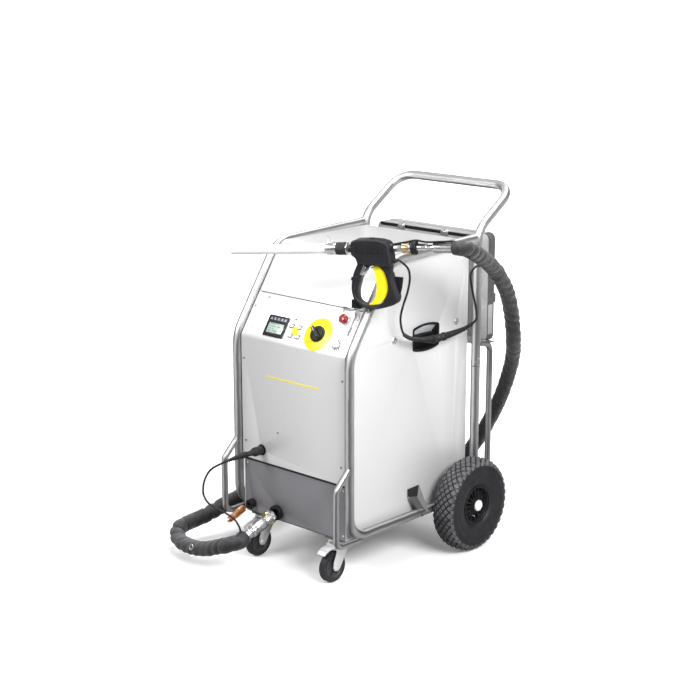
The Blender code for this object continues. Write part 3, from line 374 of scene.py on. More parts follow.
def display_glass():
    m = Shader("display_glass", (0.42, 0.52, 0.46), roughness=0.12)
    rows = m.node("ShaderNodeTexWave", wave_type="BANDS", bands_direction="Z")
    rows.inputs["Scale"].default_value = 60
    m.feed(rows.inputs["Vector"], m.coord())
    m.tint(rows.outputs["Fac"], dark=(0.38, 0.48, 0.42), light=(0.47, 0.57, 0.51),
           source=(0, 1))
    m.mottle(scale=600, detail=2, dark=grey(0.96), light=grey(1))
    m.uneven(scale=20, detail=2, low=0.08, high=0.16)
    m.grain(scale=30, detail=2, strength=0.02, distance=0.0005)
    m.set(Coat_Weight=1.0, Coat_Roughness=0.03)
    return m.material


def polished_fitting():
    """Polished round fittings with painted reflections: dark above, bright in the middle, grey
    below.
    """
    m = Shader("polished_steel_fitting", grey(0.7), metallic=0.9, roughness=0.2)
    m.bands([(-1.0, 0.05), (-0.62, 0.04), (-0.42, 0.10), (-0.28, 0.60), (-0.05, 0.92),
             (0.20, 0.55), (0.42, 0.85), (0.66, 0.35), (1.0, 0.30)], across=0.10, up=-0.95)
    m.uneven(scale=40, detail=3, low=0.16, high=0.30)
    m.mottle(scale=60, detail=3, dark=grey(0.90), light=grey(1))
    m.grain(scale=600, detail=2, strength=0.04, distance=0.0003)
    return m.material


def nozzle_tube():
    m = Shader("satin_nozzle_tube", grey(0.90), metallic=0.25, roughness=0.42)
    # painted studio reflections across the lance tube
    m.bands([(-1.0, 0.40), (-0.86, 0.62), (-0.72, 0.96), (0.0, 1.0), (0.62, 0.95),
             (0.84, 0.80), (1.0, 0.55)], across=0.10, up=-0.95)
    m.uneven(scale=40, detail=3, low=0.36, high=0.48)
    m.mottle(scale=25, detail=3, dark=grey(0.96), light=grey(1))
    m.grain(scale=900, detail=2, strength=0.03, distance=0.0002)
    return m.material


def studio_floor():
    """Matt pale floor; only the camera sees it bright, reflections see it darker."""
    m = Shader("studio_floor", grey(0.93), roughness=0.6)
    m.uneven(scale=3, detail=3, low=0.56, high=0.66)
    m.grain(scale=160, detail=3, strength=0.02, distance=0.0003)
    is_camera = m.node("ShaderNodeLightPath").outputs["Is Camera Ray"]
    position = m.node("ShaderNodeNewGeometry").outputs["Position"]
    mirrored = m.remap(m.separate(position)["Z"], 0.34, 0.36, (0.05, 1.2))
    combined = m.node("ShaderNodeCombineColor")
    for k in range(3):
        m.feed(combined.inputs[k], mirrored)
    m.set(Base_Color=m.mix(is_camera, combined.outputs[0], (*grey(0.94), 1)))
    distance = m.node("ShaderNodeVectorMath", operation="LENGTH")
    m.feed(distance.inputs[0], position)
    glow = m.remap(distance.outputs["Value"], 0.14, 0.95, (0.9, 2.8))
    m.set(Emission_Color=(1, 1, 1, 1), Emission_Strength=m.math("MULTIPLY", glow, is_camera))
    return m.material


TUBE_STEEL = tube_steel()
SHEET_STEEL = sheet_steel("satin_stainless_sheet", tone=0.84, low=0.40, high=0.48, metallic=0.45)
# the lid sheet is a darker copy of the casing sheet: its lower tone is painted shade
LID_SHEET_PAINTED_SHADE = sheet_steel("satin_stainless_lid", tone=0.70, low=0.36, high=0.44, metallic=0.62)
HOPPER_STEEL = sheet_steel("hopper_stainless", tone=0.74, low=0.26, high=0.38, metallic=1.0)
GREY_PAINT = paint("grey_powder_coat", (0.225, 0.223, 0.238))
BASE_PAINT = paint("base_powder_coat", (0.12, 0.12, 0.125))

BLACK = plastic("black_moulded_plastic", (0.008, 0.008, 0.009), rough=0.40, wear=grey(0.04))
GUN_BLACK = plastic("anthracite_glass_filled", (0.016, 0.016, 0.019), rough=0.36, grain=1100,
                    depth=0.16, wear=(0.06, 0.06, 0.062))
YELLOW = plastic("signal_yellow_plastic", (0.90, 0.74, 0.015), rough=0.36, grain=1300, depth=0.08)
INK = plastic("black_print", grey(0.02), rough=0.5, grain=900, depth=0.02)
FAINT_INK = plastic("grey_print", (0.52, 0.52, 0.53), rough=0.5, grain=900, depth=0.02)
PALE_KEY = plastic("pale_key_plastic", (0.78, 0.78, 0.79), rough=0.38, grain=1200, depth=0.05)
RIM_NYLON = plastic("rim_black_nylon", (0.014, 0.014, 0.015), rough=0.34, grain=900, depth=0.14)
HUB_NYLON = plastic("castor_hub_nylon", (0.045, 0.045, 0.048), rough=0.4, grain=900, depth=0.1)
CABLE = plastic("cable_sheath", (0.014, 0.014, 0.015), rough=0.45, grain=700)
CASE_GREY = plastic("case_grey_shell", (0.33, 0.33, 0.335), grain=900, depth=0.16,
                    wear=grey(0.5))
CASE_DARK = plastic("case_dark_shell", (0.085, 0.085, 0.088), grain=900, depth=0.16,
                    wear=grey(0.2))
# pale plate in the grip recess: a painted reflection
RECESS_PAINTED_REFLECTION = plastic("recess_plate_painted_reflection", (0.62, 0.63, 0.65), rough=0.34, grain=900,
                      depth=0.05)
INSULATION = plastic("lid_insulation", (0.55, 0.55, 0.54), rough=0.6, grain=600, depth=0.3)
LCD_INK = plastic("lcd_ink", (0.13, 0.17, 0.15), rough=0.4, grain=900, depth=0.01)
STRIP_PAD = plastic("strip_pad", (0.05, 0.05, 0.06), rough=0.4, grain=900, depth=0.05)
LILAC_INK = plastic("pale_lilac_icons", (0.62, 0.60, 0.70), rough=0.4, grain=900, depth=0.03)

DISC_YELLOW = glossy("yellow_scale_disc", (0.92, 0.80, 0.02), rough=0.30, coat=0.2)
RED = glossy("red_button", (0.40, 0.012, 0.018), rough=0.20, coat=0.8)
PALE_CAP = glossy("pale_hub_cap", (0.72, 0.72, 0.73), rough=0.30, coat=0.3)

SOFT_GRIP = rubber("gun_soft_grip", (0.020, 0.020, 0.022), rough=0.55)
RUBBER = rubber("moulded_rubber", (0.028, 0.028, 0.03), rough=0.62)
TYRE = rubber("tyre_rubber", (0.012, 0.012, 0.014), rough=0.50)
# the tyre's own rubber, lighter on the tread blocks as painted light on their tops and near black
# for the grooves as painted shade
TREAD_PAINTED_LIGHT = rubber("tread_rubber_painted_light", (0.080, 0.080, 0.085), rough=0.62)
GROOVE_PAINTED_SHADE = rubber("tread_groove_painted_shade", (0.003, 0.003, 0.0035), rough=0.9)
CASTOR_RUBBER = rubber("castor_rubber", (0.024, 0.024, 0.026), rough=0.5)
GASKET = rubber("lid_gasket_rubber", (0.016, 0.016, 0.017), rough=0.7)

ZINC = plated("zinc_plated_steel", (0.74, 0.75, 0.76), rough=0.30)
DARK_ZINC = plated("dark_zinc_screw", (0.34, 0.34, 0.35), rough=0.34)
ALUMINIUM = plated("polished_aluminium", (0.86, 0.86, 0.87), rough=0.22)
NICKEL = plated("nickel_plated_coupling", (0.70, 0.71, 0.72), rough=0.24)
FORK_ZINC = plated("white_zinc_castor_fork", (0.90, 0.90, 0.91), rough=0.42, metallic=0.7)
# near-black steel for the step bracket: painted shade on its web, painted shadow in its throat
STEP_WEB_PAINTED_SHADE = plated("step_steel_painted_shade", (0.085, 0.085, 0.09), rough=0.5, metallic=0.5)
STEP_THROAT_PAINTED_SHADOW = plated("step_throat_painted_shadow", (0.014, 0.014, 0.015), rough=0.6, metallic=0.3)
BRASS = brass()
COPPER = copper()
CHROME = polished_fitting()
LANCE = nozzle_tube()
HOSE_WEAVE = woven_sleeve()
GLASS = display_glass()

for dark in (BLACK, GUN_BLACK, CABLE, HOSE_WEAVE, RIM_NYLON):
    dark.node_tree.nodes["Principled BSDF"].inputs["Specular IOR Level"].default_value = 0.30


# ================================================================ parts and pieces
# Parts are work objects in a collection of their own; a piece is the finished join of several.
WORK = bpy.data.collections.new("work")
SCENE.collection.children.link(WORK)


def as_part(bm):
    mesh = bpy.data.meshes.new("part")
    bm.to_mesh(mesh)
    bm.free()
    part = bpy.data.objects.new("part", mesh)
    WORK.objects.link(part)
    return part


def solid(bm, at=(0, 0, 0), turn=None):
    """A part from a bmesh, cleaned, placed and turned (by a matrix or quaternion)."""
    bmesh.ops.remove_doubles(bm, verts=bm.verts, dist=1e-7)
    bmesh.ops.recalc_face_normals(bm, faces=bm.faces)
    part = as_part(bm)
    part.location = at
    if turn is not None:
        part.rotation_euler = turn.to_euler()
    return part


def bevel(part, width, segments=3, angle=35):
    modifier = part.modifiers.new("edge", "BEVEL")
    modifier.width, modifier.segments, modifier.limit_method = width, segments, "ANGLE"
    modifier.angle_limit = math.radians(angle)
    return part


def boolean(part, other, how="DIFFERENCE"):
    modifier = part.modifiers.new(how.lower(), "BOOLEAN")
    modifier.operation, modifier.solver, modifier.object = how, "EXACT", other


def baked(part):
    """The part's evaluated mesh in design coordinates."""
    bpy.context.view_layer.update()
    evaluated = part.evaluated_get(bpy.context.evaluated_depsgraph_get())
    bm = bmesh.new()
    bm.from_mesh(evaluated.to_mesh())
    evaluated.to_mesh_clear()
    bm.transform(part.matrix_world)
    mesh = bpy.data.meshes.new("baked")
    bm.to_mesh(mesh)
    bm.free()
    return mesh


def drop(part):
    """Remove a part together with its boolean partners."""
    partners = [m.object for m in part.modifiers if m.type == "BOOLEAN"]
    data = part.data
    bpy.data.objects.remove(part, do_unlink=True)
    bpy.data.meshes.remove(data)
    for partner in partners:
        drop(partner)


def piece(name, parts, material, node=None, body="chassis", sharp=32, more_materials=()):
    """Join parts into one finished piece that rides on a body and may replace a CAD node."""
    joined = bmesh.new()
    for part in parts:
        mesh = baked(part)
        start = len(joined.faces)
        joined.from_mesh(mesh)
        joined.faces.ensure_lookup_table()
        for face in joined.faces[start:]:
            face.material_index = part.get("slot_index", 0)
        bpy.data.meshes.remove(mesh)
    bmesh.ops.translate(joined, vec=SHIFT, verts=joined.verts)
    for face in joined.faces:
        face.smooth = True
    mesh = bpy.data.meshes.new(name)
    joined.to_mesh(mesh)
    joined.free()
    mesh.set_sharp_from_angle(angle=math.radians(sharp))
    for each in (material, *more_materials):
        mesh.materials.append(each)
    obj = bpy.data.objects.new(name, mesh)
    SCENE.collection.objects.link(obj)
    for part in parts:
        drop(part)
    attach(obj, body)
    if node:
        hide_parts(node)


# ================================================================ outlines and paths
def around(count):
    return [2 * PI * k / count for k in range(count)]


def span(a, b):
    return (min(a, b), max(a, b))


def spread(start, end, count):
    """Points along a straight line, both ends included."""
    start, end = Vector(start), Vector(end)
    return [start.lerp(end, k / count) for k in range(count + 1)]


def rounded(points, radii, steps=12):
    """An open line with its inner corners rounded, one radius for each."""
    points = [Vector(p) for p in points]
    line = [points[0]]
    for i in range(1, len(points) - 1):
        corner, radius = points[i], radii[i - 1]
        back, ahead = (points[i - 1] - corner).normalized(), (points[i + 1] - corner).normalized()
        half = back.angle(ahead) / 2
        if radius <= 0 or half > math.radians(89.5):
            line.append(corner)
            continue
        reach = radius / math.tan(half)
        centre = corner + (back + ahead).normalized() * (radius / math.sin(half))
        first, last = corner + back * reach - centre, corner + ahead * reach - centre
        turn = first.angle(last)
        for k in range(steps + 1):
            f = k / steps
            line.append(centre + (first * math.sin((1 - f) * turn) + last * math.sin(f * turn))
                        / math.sin(turn))
    line.append(points[-1])
    return line


def closed_round(points, radii, steps=6):
    """A closed 2-D outline with rounded corners."""
    outline = []
    for i, point in enumerate(points):
        if radii[i] <= 0:
            outline.append(Vector(point))
        else:
            near = [points[i - 1], point, points[(i + 1) % len(points)]]
            outline += rounded(near, [radii[i]], steps)[1:-1]
    return [(p[0], p[1]) for p in outline]


def round_rect(x0, x1, y0, y1, radius, steps=8):
    return closed_round([(x0, y0), (x1, y0), (x1, y1), (x0, y1)], [radius] * 4, steps)


def fitted(before, corner, after, radius):
    """The radius, cut down to what the corner's sides leave room for."""
    back, ahead = Vector(before) - Vector(corner), Vector(after) - Vector(corner)
    radius = min(radius, 0.45 * min(back.length, ahead.length) * math.tan(back.angle(ahead) / 2))
    return radius if radius > 1e-6 else 0


def soft_open(profile, radius, steps=3):
    radii = [fitted(*profile[i - 1:i + 2], radius) for i in range(1, len(profile) - 1)]
    return [(p.x, p.y) for p in rounded(profile, radii, steps)]


def soft_closed(profile, radius, steps=3):
    n = len(profile)
    radii = [fitted(profile[i - 1], profile[i], profile[(i + 1) % n], radius) for i in range(n)]
    return closed_round(profile, radii, steps)


def catmull(p0, p1, p2, p3, t):
    return 0.5 * (2 * p1 + (p2 - p0) * t
                  + (2 * p0 - 5 * p1 + 4 * p2 - p3) * t * t
                  + (3 * p1 - p0 - 3 * p2 + p3) * t ** 3)


def smooth(points, per):
    """A smooth open curve through points, with so many steps between each pair."""
    p = [Vector(q) for q in points]
    p = [p[0] * 2 - p[1]] + p + [p[-1] * 2 - p[-2]]
    curve = [catmull(*p[i - 1:i + 3], k / per) for i in range(1, len(p) - 2) for k in range(per)]
    return curve + [p[-2]]


def smooth_loop(points, per):
    n = len(points)
    outline = []
    for i in range(n):
        near = [Vector(points[(i + k) % n]) for k in (-1, 0, 1, 2)]
        outline += [tuple(catmull(*near, k / per)) for k in range(per)]
    return outline


def resample(path, step):
    """Evenly spaced points along a polyline, and its length."""
    points = [Vector(p) for p in path]
    lengths = [0.0]
    for a, b in zip(points, points[1:]):
        lengths.append(lengths[-1] + (b - a).length)
    total = lengths[-1]
    count = max(int(round(total / step)), 2)
    even, j = [], 0
    for i in range(count + 1):
        s = total * i / count
        while j < len(lengths) - 2 and lengths[j + 1] < s:
            j += 1
        f = (s - lengths[j]) / max(lengths[j + 1] - lengths[j], 1e-9)
        even.append(points[j].lerp(points[j + 1], min(max(f, 0), 1)))
    return even, total


def offset_line(outer, thick):
    """The far side of a sheet whose near side is the 2-D line outer."""
    inner = []
    for i, point in enumerate(outer):
        before, after = outer[max(i - 1, 0)], outer[min(i + 1, len(outer) - 1)]
        way_in = (point - before).normalized() if i else (after - point).normalized()
        way_out = (after - point).normalized() if i < len(outer) - 1 else way_in
        n_in, n_out = Vector((way_in.y, -way_in.x)), Vector((way_out.y, -way_out.x))
        normal = (n_in + n_out).normalized()
        inner.append(tuple(point + normal * (thick / max(normal.dot(n_in), 0.5))))
    return inner


def sheet_outline(outer, thick):
    return [tuple(p) for p in outer] + offset_line(outer, thick)[::-1]


# ================================================================ solids
def bridge(bm, a, b):
    """Quads between two rings of vertices."""
    n = len(a)
    return [bm.faces.new((a[k], a[(k + 1) % n], b[(k + 1) % n], b[k])) for k in range(n)]


def box_bm(bm, xs, ys, zs):
    made = bmesh.ops.create_cube(bm, size=1.0)["verts"]
    bmesh.ops.scale(bm, vec=[b - a for a, b in (xs, ys, zs)], verts=made)
    bmesh.ops.translate(bm, vec=[(a + b) / 2 for a, b in (xs, ys, zs)], verts=made)
    return made


def block(xs, ys, zs, at=(0, 0, 0), turn=None, soft=0.0, seg=3):
    bm = bmesh.new()
    box_bm(bm, xs, ys, zs)
    part = solid(bm, at, turn)
    return bevel(part, soft, seg) if soft else part


def rod_bm(bm, radius, a, b, sides=32):
    a, b = Vector(a), Vector(b)
    way = b - a
    spin = way.to_track_quat("Z", "X").to_matrix().to_4x4()
    bmesh.ops.create_cone(bm, cap_ends=True, segments=sides, radius1=radius, radius2=radius,
                          depth=way.length, matrix=Matrix.Translation((a + b) / 2) @ spin)


def rod(radius, a, b, sides=32, soft=0.0):
    bm = bmesh.new()
    rod_bm(bm, radius, a, b, sides)
    part = solid(bm)
    return bevel(part, soft, 2) if soft else part


def prism_bm(bm, outline, low, high, axis="X"):
    """A 2-D outline extruded along an axis."""
    def place(p, a):
        return {"X": (a, p[0], p[1]), "Y": (p[0], a, p[1]), "Z": (p[0], p[1], a)}[axis]
    face = bm.faces.new([bm.verts.new(place(p, low)) for p in outline])
    grown = bmesh.ops.extrude_face_region(bm, geom=[face])
    top = [v for v in grown["geom"] if isinstance(v, bmesh.types.BMVert)]
    bmesh.ops.translate(bm, vec=Vector(place((0, 0), high)) - Vector(place((0, 0), low)),
                        verts=top)


def prism(outline, low, high, axis="X", at=(0, 0, 0), turn=None, soft=0.0, seg=2):
    bm = bmesh.new()
    prism_bm(bm, outline, low, high, axis)
    part = solid(bm, at, turn)
    return bevel(part, soft, seg) if soft else part


def sweep(path, radius, sides=32, cap=True, weave=None):
    """A round bar along a path; radius is a number or a function of (i, length, angle).

    Rings keep a steady twist. weave = (repeats around, length of one repeat) adds UVs."""
    points = [Vector(p) for p in path]
    n = len(points)
    ways = [(points[min(i + 1, n - 1)] - points[max(i - 1, 0)]).normalized() for i in range(n)]
    reference = Vector((0, 0, 1)) if abs(ways[0].z) < 0.9 else Vector((1, 0, 0))
    normal = (reference - ways[0] * reference.dot(ways[0])).normalized()
    bm = bmesh.new()
    rings, lengths, s = [], [], 0.0
    for i in range(n):
        if i:
            s += (points[i] - points[i - 1]).length
            normal = (ways[i - 1].rotation_difference(ways[i]) @ normal).normalized()
            normal = (normal - ways[i] * normal.dot(ways[i])).normalized()
        across = ways[i].cross(normal)
        ring = []
        for a in around(sides):
            r = radius(i, s, a) if callable(radius) else radius
            ring.append(bm.verts.new(points[i] + (normal * math.cos(a) + across * math.sin(a)) * r))
        rings.append(ring)
        lengths.append(s)
    layer = bm.loops.layers.uv.new("weave") if weave else None
    for i in range(n - 1):
        sa, sb = lengths[i], lengths[i + 1]
        for k, face in enumerate(bridge(bm, rings[i], rings[i + 1])):
            if layer:
                corners = ((k, sa), (k + 1, sa), (k + 1, sb), (k, sb))
                for loop, (step, length) in zip(face.loops, corners):
                    loop[layer].uv = (step / sides * weave[0], length / weave[1])
    if cap:
        bm.faces.new(rings[0][::-1])
        bm.faces.new(rings[-1])
    bmesh.ops.recalc_face_normals(bm, faces=bm.faces)
    return as_part(bm)


def facing(along):
    return Vector(along).to_track_quat("Z", "Y")


def spun(turn, angle):
    return turn @ Matrix.Rotation(angle, 3, "Z")


def lathe(profile, at, along, sides=48, soft=0.0, soft_steps=3, shape=None):
    """Turn a (radius, height) outline about an axis.

    It starts and ends on the axis, or is closed into a ring. shape(angle, r, h) scales r."""
    closed = profile[0][0] > 1e-9
    if soft:
        profile = (soft_closed if closed else soft_open)(profile, soft, soft_steps)
    bm = bmesh.new()
    rings = []
    for r, h in profile:
        if r <= 1e-9:
            rings.append([bm.verts.new((0, 0, h))])
            continue
        ring = []
        for a in around(sides):
            q = r * (shape(a, r, h) if shape else 1.0)
            ring.append(bm.verts.new((q * math.cos(a), q * math.sin(a), h)))
        rings.append(ring)
    for a, b in list(zip(rings, rings[1:])) + ([(rings[-1], rings[0])] if closed else []):
        if len(a) == 1 and len(b) == 1:
            continue
        if len(a) > 1 and len(b) > 1:
            bridge(bm, a, b)
            continue
        for k in range(sides):
            k2 = (k + 1) % sides
            bm.faces.new((a[0], b[k2], b[k]) if len(a) == 1 else (a[k], a[k2], b[0]))
    return solid(bm, at, facing(along))


def disc(radius, top, low):
    """Lathe profile of a plain disc."""
    return [(0, top), (radius, top), (radius, low), (0, low)]


def ring(outer, inner, top, low):
    """Lathe profile of a plain ring."""
    return [(outer, top), (outer, low), (inner, low), (inner, top)]


def flutes(count, depth, beyond=0.0, low=-1.0, high=1.0):
    """Grooves along the axis, where the radius is past beyond and the height in low..high."""
    def shape(a, r, h):
        here = depth if r > beyond and low < h < high else 0
        return 1 - here * (0.5 + 0.5 * math.cos(count * a))
    return shape


def screw(at, along, radius=0.0042, height=0.0022, slot_width=0.0011):
    """A pan head screw with a cross recess."""
    head = lathe([(0, height), (radius * 0.45, height), (radius * 0.8, height * 0.82),
                  (radius, height * 0.35), (radius, -0.0004), (0, -0.0004)], at, along, 28)
    for k in range(2):
        boolean(head, block((-radius * 0.72, radius * 0.72), (-slot_width / 2, slot_width / 2),
                            (height * 0.45, height * 2), at,
                            spun(facing(along).to_matrix(), PI / 4 + k * PI / 2)))
    return head


def weld_bead(centre, normal, radius, wire=0.0016):
    """A rippled weld bead round a tube joint."""
    n = Vector(normal).normalized()
    u = n.orthogonal().normalized()
    v = n.cross(u)
    bm = bmesh.new()
    rings = []
    for i, a in enumerate(around(120)):
        point = Vector(centre) + (u * math.cos(a) + v * math.sin(a)) * radius
        out = (point - Vector(centre)).normalized()
        w = wire * (1 + 0.16 * math.sin(26 * 2 * PI * i / 120))
        rings.append([bm.verts.new(point + (out * math.cos(b) + n * math.sin(b)) * w)
                      for b in around(10)])
    for i in range(120):
        bridge(bm, rings[i], rings[(i + 1) % 120])
    return solid(bm)


def plate(corners, thick):
    """A thin sheet on a nearly flat 3-D outline, thickened away from the front and outside."""
    middle = sum(corners, Vector()) / len(corners)
    normal = Vector()
    for k, p in enumerate(corners):
        normal += (p - middle).cross(corners[(k + 1) % len(corners)] - middle)
    normal.normalize()
    if normal.dot(Vector((math.copysign(0.66, middle.x), -0.71, 0.24))) < 0:
        normal = -normal
    bm = bmesh.new()
    top = [bm.verts.new(p) for p in corners]
    low = [bm.verts.new(p - normal * thick) for p in corners]
    bm.faces.new(top)
    bm.faces.new(low[::-1])
    for k in range(len(corners)):
        k2 = (k + 1) % len(corners)
        bm.faces.new((top[k], low[k], low[k2], top[k2]))
    return solid(bm)


# ---------------------------------------------------------------- places on slope and gun
def slope_line(lift, z):
    """(y, z) on the panel plane, raised by lift."""
    return ((SLOPE_N[1] * z - SLOPE_C - lift) / -SLOPE_N[0], z)


def on_slope(x, z, lift=0.0):
    return Vector((x, (SLOPE_N[1] * z - SLOPE_C) / -SLOPE_N[0], z)) + OUT * lift


def slope_block(xs, ys, heights, at, angle=0.0):
    """A block standing on the panel at (x, z), turned in its plane."""
    return block(xs, ys, heights, on_slope(*at), spun(SLOPE_TURN, angle))


def slope_prism(outline, low, high, at, soft=0.0, seg=2, angle=0.0):
    return prism(outline, low, high, "Z", on_slope(*at), spun(SLOPE_TURN, angle), soft, seg)


def gun_point(u, w, v=0.0):
    return GUN_ORIGIN + GUN_TURN @ Vector((u, v, w))


def gun_plate(outline, half, soft=0.0, v=0.0, seg=3):
    """A (u, w) outline extruded by half to both sides of v."""
    bm = bmesh.new()
    prism_bm(bm, outline, -half, half, axis="Z")
    lay = Matrix.Rotation(math.radians(90), 3, "X")
    part = solid(bm, gun_point(0, 0, v), GUN_TURN @ lay)
    return bevel(part, soft, seg, 30) if soft else part


# ================================================================ frame tubes
def side_path(side, steps=14):
    line = [(UPRIGHT_Y - TUBE_R + 0.001, 1.0365), BEND_TOP, (0.0, BEND_Z), (0.0, RUN_Z),
            (UPRIGHT_Y, RUN_Z), (UPRIGHT_Y, JOINT_Z - 0.0008)]
    return rounded([(side * TUBE_X, y, z) for y, z in line], [0.10, 0.12, 0.07, 0.07], steps)


# corners of the folded step bracket on the right: x, y, z
STEP_CORNERS = (
    (0.2310, 0.2969, 0.2474), (0.2310, 0.3535, 0.2500),    # top, front and rear
    (0.2310, 0.2973, 0.2209), (0.2380, 0.3375, 0.2140),    # knee
    (0.2632, 0.3325, 0.1525), (0.2632, 0.3530, 0.1610),    # foot
    (0.2385, 0.2978, 0.2185),                              # knee, outer front
    (0.2690, 0.3335, 0.1560), (0.2690, 0.3605, 0.1655))    # foot, outer


def build_side_frame(side, tag):
    tube = sweep(side_path(side), TUBE_R, 40)
    boolean(tube, rod(0.0104, (side * 0.20, *AXLE), (side * 0.30, *AXLE), 40))
    bead = weld_bead((side * TUBE_X, UPRIGHT_Y - TUBE_R - 0.0004, 1.0368), (0, 1, 0), 0.0150)

    # step bracket: a throat in painted shadow, a sloping web in painted shade and two bright
    # flanges over the tube
    (top_front, top_rear, knee_front, knee_rear, foot_front, foot_rear, knee_out,
     foot_front_out, foot_rear_out) = [Vector((side * x, y, z)) for x, y, z in STEP_CORNERS]
    web = plate((knee_front, knee_rear, foot_rear, foot_front), 0.0018)
    fold = rod(0.0009, (knee_front + foot_front) / 2 + (knee_rear - knee_front) * 0.42,
               (foot_rear + foot_front) / 2, 12)
    piece("step_web_" + tag, [web, fold], STEP_WEB_PAINTED_SHADE)
    throat = plate((top_front, top_rear, knee_rear, knee_front), 0.0012)
    piece("step_throat_" + tag, [throat], STEP_THROAT_PAINTED_SHADOW)
    flanges = [plate((top_rear, knee_rear, foot_rear, foot_rear_out), 0.0022),
               plate((knee_front, knee_out, foot_front_out, foot_front), 0.0022)]
    piece("side_tube_" + tag, [tube, bead] + flanges, TUBE_STEEL, "side_frame_" + tag)

    line = ((0.0, 0.398), (-0.0645, 0.335), (-0.0645, 0.150), (0.046, 0.150))
    bumper = sweep(rounded([(side * BUMPER_X, y, z) for y, z in line], [0.02, 0.03], 10), THIN_R)
    boolean(bumper, sweep(side_path(side, 8), TUBE_R + 0.0002, 40))
    bead = weld_bead((side * BUMPER_X, -0.0135, 0.3855), (0, -0.72, -0.69), THIN_R, 0.0013)
    piece("bumper_" + tag, [bumper, bead], TUBE_STEEL, "bumper_tube_" + tag)


def build_handle():
    half = [(UPRIGHT_Y, JOINT_Z + 0.0008), (UPRIGHT_Y, 1.060), HANDLE_TOP]   # y, z
    line = [(TUBE_X, y, z) for y, z in half] + [(-TUBE_X, y, z) for y, z in half[::-1]]
    parts = [sweep(rounded(line, [0.08, 0.07, 0.07, 0.08], 16), TUBE_R, 40)]
    for side, _ in SIDES:
        parts.append(lathe(ring(0.0158, 0.0147, top=0.016, low=0.0015),
                           (side * TUBE_X, UPRIGHT_Y, JOINT_Z), (0, 0, 1), soft=0.0004))
        parts.append(screw((side * (TUBE_X + 0.0152), UPRIGHT_Y, JOINT_Z + 0.024),
                           (side, 0, 0), 0.0045))
    piece("handle_tube", parts, TUBE_STEEL, "push_handle")


for side, tag in SIDES:
    build_side_frame(side, tag)
build_handle()


# ================================================================ casing
def build_base_tray():
    parts = [block((-0.2255, 0.2255), (0.0100, 0.5930), (0.1425, 0.1470), soft=0.0008, seg=2)]
    for side, _ in SIDES:
        x = side * CASTOR_X
        parts.append(prism(round_rect(x - 0.038, x + 0.038, 0.0100, 0.078, 0.006, 4),
                           0.1370, 0.1428, "Z", soft=0.0006))
        for dx in (-0.029, 0.029):
            for y in (0.018, 0.069):
                parts.append(lathe(disc(0.0052, top=0.0011, low=-0.001), (x + dx, y, 0.1370),
                                   (0, 0, -1), 6, soft=0.0004))
    for y in (0.16, 0.42):
        parts.append(prism(round_rect(y, y + 0.03, 0.1310, 0.1428, 0.003, 3), -0.215, 0.215,
                           soft=0.0006))
    piece("base_tray", parts, BASE_PAINT, "base_plate", sharp=30)


def build_gap_shadow_strips():
    """Black strip in the narrow gap between casing and frame tubes, painted shadow in the gap."""
    chassis_line = [(0.0018, 0.3345), (0.0018, SLOPE_C / SLOPE_N[1]),
                    slope_line(-0.0014, SEAM_Z - 0.0012)]
    lid_line = [slope_line(-0.0014, SEAM_Z + 0.0020), slope_line(-0.0014, 1.0050)]
    for side, tag in SIDES:
        for body, points, radii in (("chassis", chassis_line, [0.03]),
                                    ("hopper_lid", lid_line, [])):
            line = rounded([(side * 0.2306, *p) for p in points], radii, 8)
            line = spread(line[0], line[1], 12)[:-1] + line[1:]
            piece("gap_shadow_strip_" + body + "_" + tag, [sweep(line, 0.0017, 12)], GASKET, body=body)


def grip_opening(inset, radius):
    """Grip opening outline (y, z): straight ends, top and bottom bowed out in the middle."""
    y0, y1, z0, z1 = 0.3210 + inset, 0.4440 - inset, 0.7010 + inset, 0.7840 - inset
    bow, n = 0.010, 14
    points = []
    for f in [k / n for k in range(n + 1)]:
        points.append((y0 + (y1 - y0) * f, z0 - bow * 4 * f * (1 - f) + bow))
    for f in [1 - k / n for k in range(n + 1)]:
        points.append((y0 + (y1 - y0) * f, z1 + bow * 4 * f * (1 - f) - bow))
    return closed_round(points, ([radius] + [0] * (n - 1) + [radius]) * 2, 4)


def build_side_skin(side, tag):
    inset, top = 0.0045, 1.0235
    knee = (inset, (SLOPE_C - inset - SLOPE_N[0] * inset) / SLOPE_N[1])
    outline = [(inset, FLOOR_Z), (0.5935, FLOOR_Z), (0.5935, top), slope_line(-inset, top), knee]
    inside = side * (SKIN_X - SHEET)
    panel = prism(closed_round(outline, [0.002, 0.002, 0.002, 0.045, 0.03], 10),
                  *span(inside, side * SKIN_X))
    boolean(panel, block(span(side * 0.21, side * 0.24), (AXLE[0] - 0.0130, AXLE[0] + 0.0130),
                         (0.140, AXLE[1] + 0.012)))
    if side > 0:
        boolean(panel, prism(grip_opening(inset=0.0, radius=0.006), 0.21, 0.24))
        for _, y, z in LOCKS:
            boolean(panel, rod(0.0058, (0.21, y, z), (0.24, y, z)))
    bevel(panel, 0.0006, 2)
    stiffener = block(span(inside, inside - side * 0.014), (0.5715, 0.5735), (0.20, 0.98),
                      soft=0.0004)
    piece("side_skin_" + tag, [panel, stiffener], SHEET_STEEL, "side_panel_" + tag)


